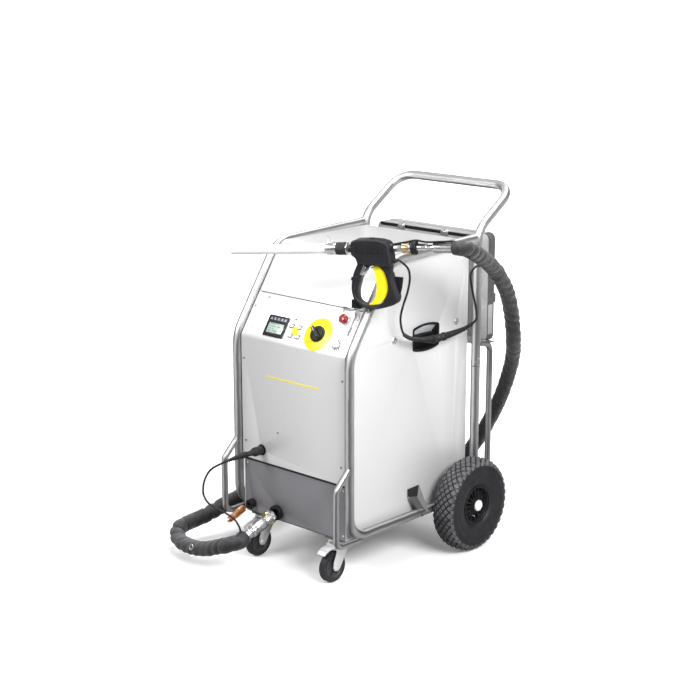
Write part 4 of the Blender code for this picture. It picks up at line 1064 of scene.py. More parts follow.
def build_front_skin():
    line = rounded([(0.0, 0.3330), (0.0, BEND_Z), slope_line(0, SEAM_Z - 0.0012)], [0.03], 12)
    front = prism(sheet_outline(line, SHEET), -SKIN_X, SKIN_X)

    # openings for display, keys, knob, buttons and plug, cut in one go
    cut = bmesh.new()
    windows = [(DISPLAY, DISPLAY_W - 0.009, DISPLAY_H - 0.009)]
    windows += [(key, 0.0150, 0.0110) for key in KEYS]
    for at, width, height in windows:
        made = box_bm(cut, (-width / 2, width / 2), (-height / 2, height / 2), (-0.02, 0.02))
        place = Matrix.Translation(on_slope(*at)) @ SLOPE_TURN.to_4x4()
        bmesh.ops.transform(cut, matrix=place, verts=made)
    for at, radius in ((KNOB, 0.0050), (STOP, 0.0070), (KEY_SWITCH, 0.0070)):
        rod_bm(cut, radius, on_slope(*at, -0.02), on_slope(*at, 0.02), 24)
    rod_bm(cut, 0.0084, (PLUG[0], -0.02, PLUG[1]), (PLUG[0], 0.02, PLUG[1]), 24)
    boolean(front, solid(cut))
    bevel(front, 0.0006, 2)
    folds = [block(span(side * 0.2262, side * 0.2242), (0.0018, 0.0180), (0.3350, 0.7250),
                   soft=0.0004) for side, _ in SIDES]
    piece("front_skin", [front] + folds, SHEET_STEEL, "front_panel")


def build_connector_panel():
    """Grey panel below the front skin, with the holes for the two ports."""
    panel = block((-0.2260, 0.2260), (0.0065, 0.0090), (FLOOR_Z, 0.3275))
    cut = bmesh.new()
    rod_bm(cut, 0.0104, (-0.190, -0.02, 0.177), (-0.190, 0.03, 0.177))
    rod_bm(cut, 0.0163, (-0.075, -0.02, 0.172), (-0.075, 0.03, 0.172))
    boolean(panel, solid(cut))
    bevel(panel, 0.0008, 2)
    top_fold = block((-0.2260, 0.2260), (0.0088, 0.0260), (0.3252, 0.3275), soft=0.0006)
    foot_fold = block((-0.2250, 0.2250), (0.0088, 0.0200), (FLOOR_Z, 0.1500), soft=0.0006)
    piece("connector_skin", [panel, top_fold, foot_fold], GREY_PAINT, "connector_panel")
    # black strip in the gap under the front skin: painted shadow in the gap
    rubber_strip = block((-0.2255, 0.2255), (0.0046, 0.0064), (0.3240, 0.3345), soft=0.0004)
    piece("connector_gap_shadow_strip", [rubber_strip], GASKET)
    # dark sill behind the gap between the two front panels: painted shadow in the gap
    gap_shadow_sill = prism([(0.0030, 0.3345), (0.0300, 0.3345), (0.0300, 0.3600), (0.0030, 0.3600)],
                 -0.2235, 0.2235, soft=0.001)
    piece("front_gap_shadow_sill", [gap_shadow_sill], BLACK)


def build_rear_skin():
    rear = prism([(-SKIN_X, FLOOR_Z), (SKIN_X, FLOOR_Z), (SKIN_X, 0.9780), (-SKIN_X, 0.9780)],
                 0.5940, BACK_Y, "Y")
    vents = bmesh.new()
    for i in range(9):
        z = 0.360 + 0.0135 * i
        for x in (-0.105, 0.105):
            prism_bm(vents, round_rect(x - 0.060, x + 0.060, z, z + 0.0055, 0.0026, 4),
                     0.58, 0.62, "Y")
    boolean(rear, solid(vents))
    bevel(rear, 0.0005, 2)
    piece("rear_skin", [rear], SHEET_STEEL, "rear_panel")
    piece("rear_screws", [screw((x, BACK_Y, z), (0, 1, 0)) for x in (-0.215, 0.215)
                          for z in (0.17, 0.43, 0.70, 0.955)], ZINC)


def build_lid():
    thick, rear = 0.0025, 0.600
    line = rounded([slope_line(0, SEAM_Z + 0.0012), slope_line(0, TOP_Z), (rear, TOP_Z)],
                   [0.045], 14)
    lid = prism(sheet_outline(line, thick), -SKIN_X, SKIN_X)
    inner = offset_line(line, thick)
    pocket = [(inner[0][0] - 0.0054, inner[0][1] - 0.0081)] + inner[1:-1]
    pocket += [(rear - thick, TOP_Z - thick), (rear - thick, 0.965)]
    tray = prism([tuple(p) for p in line] + [(rear, 0.9855)], -0.2220, 0.2220)
    boolean(tray, prism(pocket, -0.2195, 0.2195))
    boolean(lid, tray, "UNION")
    boolean(lid, block((-0.2080, 0.2080), (0.5900, 0.6100), (0.9700, 0.9884)))   # hinge notch
    bevel(lid, 0.0006, 2, 40)
    piece("lid_skin", [lid], LID_SHEET_PAINTED_SHADE, "hopper_lid", "hopper_lid")
    liner = block((-0.205, 0.205), (0.215, 0.588), (1.0100, 1.0252), soft=0.006, seg=4)
    piece("lid_liner", [liner], INSULATION, body="hopper_lid")


def build_hinge():
    """Piano hinge along the rear of the lid; knuckles alternate between lid and casing."""
    y, z, half, count = 0.6000, 0.9850, 0.207, 23
    lid, case = [], []
    for i in range(count):
        x0 = -half + 2 * half * i / count
        x1 = -half + 2 * half * (i + 1) / count - 0.0005
        parts = case if i % 2 else lid
        parts.append(rod(0.0028, (x0, y, z), (x1, y, z), 20))
        parts.append(block((x0, x1), (0.5992, 0.6008), (0.9800, 0.9830)) if i % 2
                     else block((x0, x1), (0.6003, 0.6013), (0.9868, 0.9900)))
    across = (-half, half)
    lid.append(block(across, (0.6003, 0.6013), (0.9886, 1.0050), soft=0.0003))
    case.append(block(across, (0.5967, 0.5977), (0.9620, 0.9775), soft=0.0002))
    case.append(block(across, (0.5975, 0.6035), (0.9795, 0.9818), soft=0.0003))
    piece("hinge_knuckles_lid", lid, ZINC, body="hopper_lid")
    piece("hinge_knuckles_case", case, ZINC)
    pin = rod(0.0013, (-0.2074, y, z), (0.2072, y, z), 16, 0.0004)
    piece("hinge_pin", [pin], ZINC)


def build_lid_seal():
    """Rubber seal on the casing rim, and a dark strip behind the lid seam as painted shadow in the
    seam.
    """
    y, z = slope_line(-0.012, 0.872)
    rubber_strip = sweep(spread((-0.207, y, z), (0.207, y, z), 40),
                 lambda i, s, a: 0.0058 * (1 + 0.10 * math.sin(3 * a)), 20)
    piece("lid_seal", [rubber_strip], GASKET)
    strip = prism([slope_line(-0.0034, 0.8640), slope_line(-0.0034, 0.8805),
                   slope_line(-0.0046, 0.8805), slope_line(-0.0046, 0.8640)], -0.2180, 0.2180)
    piece("lid_seam_shadow_strip", [strip], BLACK)


def build_grip_recess():
    cup = prism(grip_opening(inset=0.0006, radius=0.006), 0.1990, 0.2292)
    boolean(cup, prism(grip_opening(inset=-0.0045, radius=0.009), 0.2287, 0.2303), "UNION")
    boolean(cup, prism(grip_opening(inset=0.0030, radius=0.005), 0.2010, 0.2400))
    bevel(cup, 0.0006, 2)
    piece("grip_cup", [cup], BLACK, "grip_recess")
    # a pale sloped plate in the upper half as a painted reflection in the recess, and a rolled
    # finger lip
    outline = [(0.2014, 0.7795), (0.2262, 0.7795), (0.2262, 0.7772), (0.2040, 0.7480),
               (0.2014, 0.7480)]
    reflection_plate = prism([(x, z) for x, z in outline], 0.3262, 0.4388, "Y", soft=0.0006)
    piece("grip_plate_painted_reflection", [reflection_plate], RECESS_PAINTED_REFLECTION)
    lip = sweep([(0.2080, 0.3262 + 0.1126 * k / 24, 0.7440 + 0.0030 * math.sin(PI * k / 24))
                 for k in range(25)], 0.0045, 20)
    piece("grip_finger_lip", [lip], BLACK)


def build_panel_locks():
    for place, y, z in LOCKS:
        at, out = (SKIN_X, y, z), (1, 0, 0)
        head = lathe([(0, 0.0045), (0.0095, 0.0040), (0.0110, 0.0026), (0.0110, 0.0004),
                      (0.0050, 0.0004), (0.0050, -0.0120), (0, -0.0120)], at, out, soft=0.0008)
        boolean(head, block((-0.0014, 0.0014), (-0.0075, 0.0075), (0.0022, 0.02), at,
                            facing(out).to_matrix()))
        boolean(head, lathe([(0, 0.02), (0.0070, 0.02), (0.0064, 0.0036), (0, 0.0036)],
                            at, out, 32, soft=0.0004))
        cam = block((0.2130, 0.2155), (y - 0.005, y + 0.005), (z - 0.004, z + 0.024),
                    soft=0.0008)
        node = "panel_lock_" + place
        piece("lock_head_" + place, [head, cam], ZINC, node, node)


def build_front_screws():
    on_panel = ((-0.175, 0.862), (-0.218, 0.832), (0.150, 0.866), (0.2165, 0.8120))   # x, z
    on_front = ((0.218, 0.668), (-0.218, 0.668), (-0.065, 0.445), (-0.213, 0.390),
                (0.213, 0.390))
    parts = [screw(on_slope(x, z), OUT, 0.0040, 0.0020) for x, z in on_panel]
    parts += [screw((x, 0, z), (0, -1, 0), 0.0040, 0.0020) for x, z in on_front]
    piece("front_screws", parts, DARK_ZINC)
    piece("connector_screws", [screw((x, 0.0065, z), (0, -1, 0), 0.0036, 0.0018)
                               for x in (-0.215, 0.215) for z in (0.163, 0.312)], ZINC)


build_base_tray()
build_gap_shadow_strips()
for side, tag in SIDES:
    build_side_skin(side, tag)
build_front_skin()
build_connector_panel()
build_rear_skin()
build_lid()
build_hinge()
build_lid_seal()
build_grip_recess()
build_panel_locks()
build_front_screws()


# ================================================================ operator panel
def display_part(x0, x1, y0, y1, low, high, soft=0.0, radius=0.0):
    """A block, or with a radius a rounded plate, in display coordinates."""
    centre = on_slope(*DISPLAY)
    if radius:
        return prism(round_rect(x0, x1, y0, y1, radius, 6), low, high, "Z", centre,
                     SLOPE_TURN, soft)
    return block((x0, x1), (y0, y1), (low, high), centre, SLOPE_TURN, soft, 2)


def build_display():
    w, h = DISPLAY_W / 2, DISPLAY_H / 2
    bezel = display_part(-w, w, -h, h, 0.0003, 0.0040, soft=0.0008, radius=0.003)
    boolean(bezel, display_part(-0.0345, 0.0345, -0.0240, 0.0105, 0.0020, 0.02, radius=0.002))
    boolean(bezel, display_part(-0.0390, 0.0390, 0.0180, 0.0320, 0.0028, 0.02, radius=0.001))
    w, h = w - 0.0052, h - 0.0052
    back = display_part(-w, w, -h, h, -0.0150, 0.0010, soft=0.001)
    piece("display_bezel", [bezel, back], BLACK, "display_unit")
    glass = display_part(-0.0343, 0.0343, -0.0238, 0.0103, 0.0018, 0.0026, soft=0.0003)
    piece("display_glass", [glass], GLASS)

    segments, pitch = [], 0.0052
    # rows of dark segments: y, width
    for row, (y, width) in enumerate(((0.0050, 0.040), (-0.0030, 0.052), (-0.0110, 0.030),
                                      (-0.0180, 0.046))):
        for k in range(int(width / pitch)):
            if (k * 7 + row * 3) % 5 == 0:
                continue
            x = -0.0300 + pitch * k
            top = y + 0.0030 + 0.0008 * ((k + row) % 2)
            segments.append(display_part(x, x + 0.0034, y, top, 0.0026, 0.00268))
    piece("display_segments", segments, LCD_INK)

    pad = display_part(-0.0386, 0.0386, 0.0184, 0.0316, 0.0024, 0.0032, soft=0.0003)
    piece("display_key_strip", [pad], STRIP_PAD)
    marks = []
    for k in range(5):
        x = -0.0310 + 0.0155 * k
        marks.append(display_part(x - 0.0042, x + 0.0042, 0.0215, 0.0228, 0.0032, 0.0034))
        marks.append(display_part(x - 0.0014, x + 0.0014, 0.0240, 0.0286, 0.0032, 0.0034,
                                  radius=0.0006))
    piece("display_key_marks", marks, LILAC_INK)


def build_keys():
    """Four keys with a finger dish, on a yellow field with dark frames."""
    for i, at in enumerate(KEYS):
        key = slope_prism(round_rect(-0.0070, 0.0070, -0.0050, 0.0050, 0.0016, 5),
                          -0.0060, 0.0030, at, 0.0007, 3)
        boolean(key, lathe([(0, 0.012), (0.0100, 0.012), (0.0060, 0.0036), (0.0030, 0.0026),
                            (0, 0.0024)], on_slope(*at), OUT, 32))
        node = "key_%d" % (i + 1)
        piece("key_cap_%d" % (i + 1), [key], PALE_KEY, node, node)
    field = slope_prism(round_rect(-0.0135, 0.0155, -0.0150, 0.0150, 0.006, 6), 0.0002, 0.0005,
                        (-0.0108, 0.7842), 0.0001, 1)
    piece("key_field", [field], DISC_YELLOW)
    frames = []
    for at in KEYS:
        part = slope_prism(round_rect(-0.0092, 0.0092, -0.0072, 0.0072, 0.0026, 5),
                           0.0003, 0.0013, at, 0.0004)
        boolean(part, slope_prism(round_rect(-0.0076, 0.0076, -0.0056, 0.0056, 0.0018, 5),
                                  -0.01, 0.02, at))
        frames.append(part)
    piece("key_frames", frames, INK)


def build_panel_print():
    """Crossed bars, a slanted bar beside each key, and grey rings with a dot."""
    icons = [slope_block((-0.0052, 0.0052), (-0.0010, 0.0010), (0.0002, 0.0006),
                         (-0.0250, 0.8175), angle) for angle in (0.6, -0.6)]
    icons += [slope_block((-0.0010, 0.0010), (-0.0030, 0.0030), (0.0002, 0.0006),
                          (x + 0.0100, z + 0.003), -0.5) for x, z in KEYS]
    piece("panel_icons", icons, INK)
    lamps = []
    for x, z, r in ((0.0010, 0.8185, 0.0058), (-0.168, 0.799, 0.0068), (-0.190, 0.799, 0.0068),
                    (-0.172, 0.772, 0.0068), (-0.194, 0.772, 0.0068)):
        at = on_slope(x, z)
        lamps.append(lathe(ring(r, r - 0.0011, top=0.0007, low=0.0002), at, OUT, 40,
                           soft=0.0001))
        lamps.append(lathe(disc(r * 0.35, top=0.0006, low=0.0002), at, OUT, 20))
    piece("panel_lamp_rings", lamps, FAINT_INK)


def build_knob():
    """Selector knob on a yellow disc with a printed scale."""
    at = on_slope(*KNOB)
    scale_disc = lathe([(0.0545, 0.0009), (0.0550, 0.0006), (0.0550, 0.0002), (0.0060, 0.0002),
                        (0.0060, 0.0009)], at, OUT, 96)
    piece("knob_disc", [scale_disc], DISC_YELLOW)
    ticks = []
    for k in range(21):
        half, start = (0.0007, 0.0375) if k % 5 == 0 else (0.0004, 0.0400)
        angle = math.radians(225 - 270 * k / 20)
        ticks.append(slope_block((-half, half), (start, 0.0460), (0.0009, 0.00105), KNOB,
                                 angle - PI / 2))
    piece("knob_scale", ticks, INK)

    angle = math.radians(50)
    skirt = lathe([(0, 0.0120), (0.0225, 0.0112), (0.0262, 0.0085), (0.0275, 0.0014),
                   (0.0045, 0.0014), (0.0045, -0.0120), (0, -0.0120)], at, OUT, 72, soft=0.0012,
                  shape=flutes(18, 0.022, beyond=0.02, low=0.0015))
    bar = slope_prism(closed_round([(-0.0078, -0.0232), (0.0078, -0.0232), (0.0052, 0.0243),
                                    (-0.0052, 0.0243)], [0.005, 0.005, 0.003, 0.003]),
                      0.0060, 0.0238, KNOB, 0.0022, 4, angle)
    piece("knob_cap", [skirt, bar], BLACK, "selector_knob", "selector_knob")
    pointer = slope_block((-0.0008, 0.0008), (0.0040, 0.0222), (0.0236, 0.0240), KNOB, angle)
    piece("knob_pointer", [pointer], PALE_KEY, body="selector_knob")


def build_buttons():
    at = on_slope(*STOP)
    stop = lathe([(0, 0.0205), (0.0060, 0.0202), (0.0110, 0.0188), (0.0148, 0.0155),
                  (0.0155, 0.0122), (0.0130, 0.0092), (0.0065, 0.0087), (0.0065, -0.0120),
                  (0, -0.0120)], at, OUT, 64, soft=0.0012, soft_steps=4)
    piece("stop_cap", [stop], RED, "stop_button", "stop_button")
    collar = lathe([(0.0145, 0.0030), (0.0160, 0.0004), (0.0080, 0.0004), (0.0080, 0.0030)],
                   at, OUT, 64, soft=0.0006)
    piece("stop_collar", [collar], ZINC)

    at = on_slope(*KEY_SWITCH)
    switch = lathe([(0, 0.0115), (0.0088, 0.0112), (0.0104, 0.0095), (0.0105, 0.0006),
                    (0.0065, 0.0006), (0.0065, -0.0120), (0, -0.0120)], at, OUT, 64,
                   soft=0.0009, shape=flutes(24, 0.03, beyond=0.008, low=0.001))
    boolean(switch, slope_block((-0.0009, 0.0009), (-0.0048, 0.0048), (0.0080, 0.02),
                                KEY_SWITCH, 0.6))
    piece("switch_cap", [switch], PALE_KEY, "key_switch", "key_switch")
    marks = [slope_block((-0.0017, 0.0017), (0.0140, 0.0178 + 0.0010 * (k % 3)),
                         (0.0002, 0.0006), KEY_SWITCH, math.radians(-50 + 28 * k))
             for k in range(11)]
    marks.append(lathe(ring(0.0124, 0.0108, top=0.0007, low=0.0002), at, OUT, 56, soft=0.0001))
    piece("switch_scale", marks, INK)


build_display()
build_keys()
build_panel_print()
build_knob()
build_buttons()

# yellow rule across the front below the panel
rule = prism(round_rect(-0.118, 0.118, 0.6220, 0.6265, 0.002, 5), -0.0006, 0.0001, "Y",
             soft=0.0002)
piece("badge_rule", [rule], DISC_YELLOW)


# ================================================================ air and blast ports
def build_ports():
    at, forward = (-0.190, 0.0, 0.177), (0, -1, 0)
    inlet = lathe([(0.0150, 0.0160), (0.0150, -0.0060), (0.0100, -0.0060), (0.0100, -0.0490),
                   (0.0060, -0.0490), (0.0060, 0.0160)], at, forward, 80, soft=0.0010,
                  shape=flutes(20, 0.04, beyond=0.014, low=-0.004, high=0.014))
    piece("inlet_fitting", [inlet], BLACK, "air_inlet")
    nipple = lathe(ring(0.0085, 0.0062, top=0.0150, low=0.0020), at, forward, 40, soft=0.0006)
    piece("inlet_nipple", [nipple], BRASS)
    socket = lathe([(0.0250, 0.0090), (0.0250, -0.0050), (0.0158, -0.0050), (0.0158, -0.0370),
                    (0.0130, -0.0370), (0.0130, 0.0090)], (-0.075, -0.0006, 0.172), forward,
                   96, soft=0.0014, soft_steps=4,
                   shape=flutes(26, 0.03, beyond=0.024, low=-0.004, high=0.007))
    piece("outlet_fitting", [socket], BLACK, "outlet_socket")


# coupling body, lathe profile: radius, distance along the coupling
COUPLING_PROFILE = [
    (0, 0.1380), (0.0150, 0.1380), (0.0150, 0.1230), (0.0162, 0.1225), (0.0162, 0.1190),
    (0.0150, 0.1185), (0.0150, 0.1100), (0.0195, 0.1080), (0.0200, 0.1040), (0.0200, 0.0940),
    (0.0188, 0.0930), (0.0188, 0.0860), (0.0200, 0.0850), (0.0200, 0.0600), (0.0190, 0.0560),
    (0.0180, 0.0550), (0.0180, 0.0260), (0.0170, 0.0240), (0.0170, 0.0080), (0.0120, 0.0060),
    (0, 0.0060)]


def coupling_ears(points, radii, half, first_angle, soft):
    """Two opposite ears on the coupling from one (radius, distance) outline."""
    turn = facing(COUPLING_WAY).to_matrix()
    outline = closed_round(points, radii, 5)
    return [prism(outline, -half, half, "Y", COUPLING, spun(turn, k * PI + first_angle), soft, 3)
            for k in range(2)]


def build_coupling():
    body = lathe(COUPLING_PROFILE, COUPLING, COUPLING_WAY, 72, soft=0.0010,
                 shape=flutes(16, 0.03, beyond=0.019, low=0.060, high=0.085))
    claws = coupling_ears([(0.0150, 0.0220), (0.0232, 0.0240), (0.0232, 0.0500),
                           (0.0180, 0.0560), (0.0150, 0.0560)],
                          [0.001, 0.004, 0.004, 0.002, 0.001], 0.0075, 0.7, 0.0012)
    nut = lathe(ring(0.0222, 0.0100, top=0.0250, low=0.0120), COUPLING, COUPLING_WAY, 6,
                soft=0.0012)
    piece("coupling_body", [body] + claws + [nut], NICKEL, "hose_coupling")
    lugs = coupling_ears([(0.0150, 0.0130), (0.0228, 0.0150), (0.0228, 0.0300),
                          (0.0150, 0.0330)], [0.001, 0.003, 0.003, 0.001], 0.0055, 2.1, 0.0010)
    clip = lathe(ring(0.0226, 0.0185, top=0.0385, low=0.0345), COUPLING, COUPLING_WAY, 64,
                 soft=0.0008)
    piece("coupling_lugs", lugs + [clip], BRASS)


def build_earth_clamp():
    jaw_radii = [0.003, 0.003, 0.006, 0.0012, 0.0012, 0.004, 0.003]
    upper = [(-0.0190, 0.1680), (-0.0300, 0.1745), (-0.0560, 0.1660), (-0.0980, 0.1490),
             (-0.0990, 0.1455), (-0.0600, 0.1575), (-0.0280, 0.1620)]            # y, z
    lower = [(-0.0190, 0.1640), (-0.0280, 0.1560), (-0.0560, 0.1440), (-0.0960, 0.1330),
             (-0.0985, 0.1365), (-0.0600, 0.1500), (-0.0300, 0.1620)]
    parts = [prism(closed_round(jaw, jaw_radii, 5), -0.2076, -0.1924, soft=0.0009)
             for jaw in (upper, lower)]
    for k in range(7):
        y = -0.0930 + 0.0050 * k
        for z, way in ((0.1462 + 0.0018 * k, -1), (0.1352 + 0.0019 * k, 1)):
            parts.append(prism([(y, z), (y + 0.0036, z + 0.0012), (y + 0.0016, z + way * 0.0030)],
                               -0.2068, -0.1932))
    pivot_y, pivot_z = -0.0440, 0.1600
    parts.append(rod(0.0030, (-0.2090, pivot_y, pivot_z), (-0.1910, pivot_y, pivot_z), 24,
                     0.0006))
    coil, turns, steps = 0.0052, 5, 96
    parts.append(sweep([(-0.2060 + 0.0120 * k / steps,
                         pivot_y + coil * math.cos(2 * PI * turns * k / steps),
                         pivot_z + coil * math.sin(2 * PI * turns * k / steps))
                        for k in range(steps + 1)], 0.0008, 10))
    piece("clamp_jaws", parts, COPPER, "earth_clamp")
    lead = sweep(smooth([(-0.2000, -0.0230, 0.1660), (-0.2000, -0.0080, 0.1650),
                         (-0.1990, 0.0000, 0.1560), (-0.1980, 0.0064, 0.1540)], 10), 0.0028, 18)
    piece("clamp_lead", [lead], CABLE)


build_ports()
build_coupling()
build_earth_clamp()

# ================================================================ blast hose
# centre line from the gun down behind the machine and round its left side to the coupling
hose_end = COUPLING + COUPLING_WAY * 0.1388
HOSE_POINTS = [
    gun_point(0.2600, 0.0160), gun_point(0.2685, 0.0165), (0.5340, 0.1765, 1.0980),
    (0.5350, 0.1950, 1.0937), (0.5270, 0.2293, 1.0818), (0.5130, 0.2812, 1.0601),
    (0.4900, 0.3710, 1.0152), (0.4680, 0.4467, 0.9651), (0.4490, 0.5098, 0.9081),
    (0.4320, 0.5555, 0.8496), (0.4190, 0.5872, 0.7931), (0.3980, 0.6240, 0.7220),
    (0.3440, 0.6960, 0.6400), (0.2960, 0.7370, 0.555), (0.2400, 0.7650, 0.455),
    (0.1750, 0.7860, 0.352), (0.1000, 0.8000, 0.250), (0.0000, 0.8050, 0.140),
    (-0.1200, 0.8000, 0.060), (-0.2500, 0.7750, 0.030), (-0.3600, 0.7100, 0.027),
    (-0.4000, 0.6000, 0.027), (-0.4020, 0.4500, 0.027), (-0.3930, 0.3100, 0.045),
    (-0.3740, 0.1950, 0.100), (-0.3640, 0.1150, 0.129), (-0.3660, 0.0480, 0.121),
    (-0.3850, 0.0050, 0.101), (-0.4120, -0.0230, 0.080), (-0.4240, -0.0530, 0.071),
    (-0.4240, -0.0890, 0.070), (-0.4170, -0.1230, 0.065), (-0.3980, -0.1480, 0.053),
    (-0.3650, -0.1670, 0.048), (-0.3250, -0.1820, 0.050), (-0.2810, -0.1910, 0.054),
    (-0.2350, -0.1940, 0.061), (-0.1910, -0.1950, 0.073), (-0.1470, -0.1950, 0.090),
    (-0.1050, -0.1920, 0.106), hose_end + COUPLING_WAY * 0.030,
    hose_end + COUPLING_WAY * 0.012, hose_end]
hose_line, hose_length = resample(smooth(HOSE_POINTS, 12), 0.0026)


def hose_bend(reach=8):
    """Curvature along the hose, smoothed over 25 points."""
    bend = [0.0] * len(hose_line)
    for i in range(reach, len(hose_line) - reach):
        before = (hose_line[i] - hose_line[i - reach]).normalized()
        after = (hose_line[i + reach] - hose_line[i]).normalized()
        bend[i] = before.angle(after) / 0.0208
    return np.convolve(bend, np.ones(25) / 25, "same")


def hose_index(point):
    """The hose point nearest to a place."""
    return min(range(len(hose_line)), key=lambda i: (hose_line[i] - point).length)


def build_hose():
    bend = hose_bend()

    def sleeve(i, s, a):
        """Radius: a fine diagonal wrap, deeper folds where the hose bends, one sewn seam."""
        k = min(bend[i] / 9.0, 1.0)
        edge = min(s, hose_length - s)
        calm = min(edge / 0.03, 1.0)
        wobble = 0.8 * math.sin(s * 13.0) + 0.5 * math.sin(s * 41.0 + 2.0)
        wrap = math.sin(2 * PI * s / 0.036 + 2 * a + wobble + 0.8 * math.sin(a + s * 19.0))
        fold_phase = PI * s / 0.047 + a + 0.9 * math.sin(a + s * 9.0) + 1.6 * wobble
        fold = 1 - 2 * abs(math.sin(fold_phase)) ** 0.6
        lump = math.sin(3 * a + s * 12.0) * math.sin(s * 8.0 + 1.0)
        r = 0.0241 - calm * ((0.0007 + 0.0022 * k * k) * fold + (0.00060 + 0.00040 * k) * wrap
                             + 0.00055 * lump)
        from_seam = (a - 2.6 - 0.5 * math.sin(s * 3.0) + PI) % (2 * PI) - PI
        if abs(from_seam) < 0.42:
            r += 0.0011 * min(1.0, (0.42 - abs(from_seam)) / 0.08)
        gun_taper = 0.0036 * max(0.0, 1 - s / 0.10)
        return min(r, 0.0262) - gun_taper - 0.0012 * (1 - min(edge / 0.006, 1.0))

    hose = sweep(hose_line, sleeve, 40, weave=(22, 0.0068))
    piece("hose_sleeve", [hose], HOSE_WEAVE, "blast_hose", sharp=75)
    n = len(hose_line)
    cuffs = [sweep(hose_line[0:4], 0.0209, 40),
             sweep(hose_line[n - 13:n - 2],
                   lambda i, s, a: 0.0252 if 0.003 < s < 0.027 else 0.0243, 40)]
    piece("hose_cuffs", cuffs, RUBBER)

    # metal eyelet in the sleeve near the front bend, turned to the camera
    i = hose_index(Vector((-0.2500, -0.1930, 0.058)))
    out = CAMERA_PLACE - hose_line[i]
    along = (hose_line[i + 2] - hose_line[i - 2]).normalized()
    out = (out - along * out.dot(along)).normalized()
    at = hose_line[i] + out * 0.0250
    eyelet = lathe(ring(0.0105, 0.0052, top=0.0016, low=-0.0010), at, out, soft=0.0009)
    piece("hose_eyelet", [eyelet], ALUMINIUM)
    plug = lathe([(0, 0.0004), (0.0054, 0.0002), (0.0054, -0.0020), (0, -0.0020)], at, out, 32)
    piece("hose_eyelet_plug", [plug], BLACK)


build_hose()


# ================================================================ cables
def ribbed(path, core, zones, step=0.0012, sides=20):
    """A cable with swollen strain reliefs.

    zones: start, end, radius at start, radius at end, rib pitch (0 for none)."""
    points, _ = resample(path, step)

    def radius(i, s, a):
        r = core
        for start, end, r0, r1, pitch in zones:
            if start <= s <= end:
                r = r0 + (r1 - r0) * ((s - start) / max(end - start, 1e-6))
                if pitch:
                    wave = 0.5 + 0.5 * math.cos(2 * PI * (s - start) / pitch)
                    r -= min(0.0048, 0.46 * r) * wave ** 1.5
        return max(r, core)
    return sweep(points, radius, sides)


GUN_CABLE = [
    gun_point(0.0700, -0.0390), gun_point(0.0790, -0.0372), (0.3440, 0.1100, 1.0464),
    (0.3300, 0.1493, 1.0298), (0.3200, 0.1854, 1.0054), (0.3160, 0.1979, 0.9806),
    (0.3100, 0.2025, 0.9547), (0.3000, 0.2038, 0.9205), (0.2880, 0.1998, 0.8825),
    (0.2790, 0.1997, 0.8481), (0.2710, 0.2108, 0.8160), (0.2680, 0.2275, 0.7857),
    (0.2700, 0.2532, 0.7686), (0.2720, 0.2740, 0.762), (0.2740, 0.3200, 0.752)]
HOSE_CABLE = [
    (0.2740, 0.3210, 0.7517), (0.2745, 0.3450, 0.7480), (0.2750, 0.3880, 0.7450),
    (0.2750, 0.4300, 0.7460), (0.2760, 0.4790, 0.7490), (0.2860, 0.5200, 0.7590),
    (0.3080, 0.5360, 0.7820), (0.3280, 0.5160, 0.8140), (0.3380, 0.4920, 0.8600),
    (0.3420, 0.4690, 0.9130), (0.3520, 0.4520, 0.9540), (0.3760, 0.4430, 0.9810),
    (0.4030, 0.4340, 0.9910), (0.4300, 0.4200, 0.9950)]
FRONT_CABLE = [
    (PLUG[0], -0.0660, PLUG[1]), (PLUG[0] - 0.001, -0.1000, 0.3720),
    (PLUG[0] - 0.002, -0.1300, 0.3710), (-0.1550, -0.1620, 0.3620),
    (-0.1950, -0.1760, 0.3340), (-0.2260, -0.1760, 0.2900), (-0.2350, -0.1740, 0.2450),
    (-0.2150, -0.1730, 0.2180), (-0.1750, -0.1710, 0.2070), (-0.1340, -0.1690, 0.2000),
    (-0.1000, -0.1650, 0.1870), (-0.0850, -0.1620, 0.1700), (-0.0790, -0.1600, 0.1560),
    (-0.0780, -0.1600, 0.1420)]


def build_hand_cables():
    """The gun's cable and the one that carries on to the hose, where a tie holds it."""
    gun_cable = ribbed(smooth(GUN_CABLE, 12), 0.0035, [(0.0, 0.022, 0.0052, 0.0038, 0.0045),
                                                       (0.352, 0.60, 0.0066, 0.0092, 0.0090)])
    piece("gun_cable", [gun_cable], CABLE, "gun_signal_cable", sharp=50)
    hose_cable = ribbed(smooth(HOSE_CABLE, 12), 0.0035,
                        [(0.0, 0.034, 0.0092, 0.0115, 0.0090),
                         (0.034, 0.042, 0.0140, 0.0140, 0),
                         (0.042, 0.090, 0.0126, 0.0126, 0.0180),
                         (0.090, 0.098, 0.0138, 0.0138, 0),
                         (0.098, 0.225, 0.0120, 0.0066, 0.0088)], 0.0010, 28)
    piece("hose_cable", [hose_cable], CABLE, "hose_signal_cable", sharp=50)
    end = Vector(HOSE_CABLE[-1])
    i = hose_index(end)
    gap = hose_line[i] - end
    tail = spread(end, end + gap.normalized() * max(gap.length - 0.0200, 0.002), 6)
    piece("hose_lead_tail", [sweep(tail, 0.0034, 20)], CABLE)
    tie = lathe(ring(0.0266, 0.0222, top=0.0040, low=-0.0040), hose_line[i],
                (hose_line[i + 3] - hose_line[i - 3]).normalized(), 56, soft=0.0010)
    piece("hose_lead_tie", [tie], RUBBER)


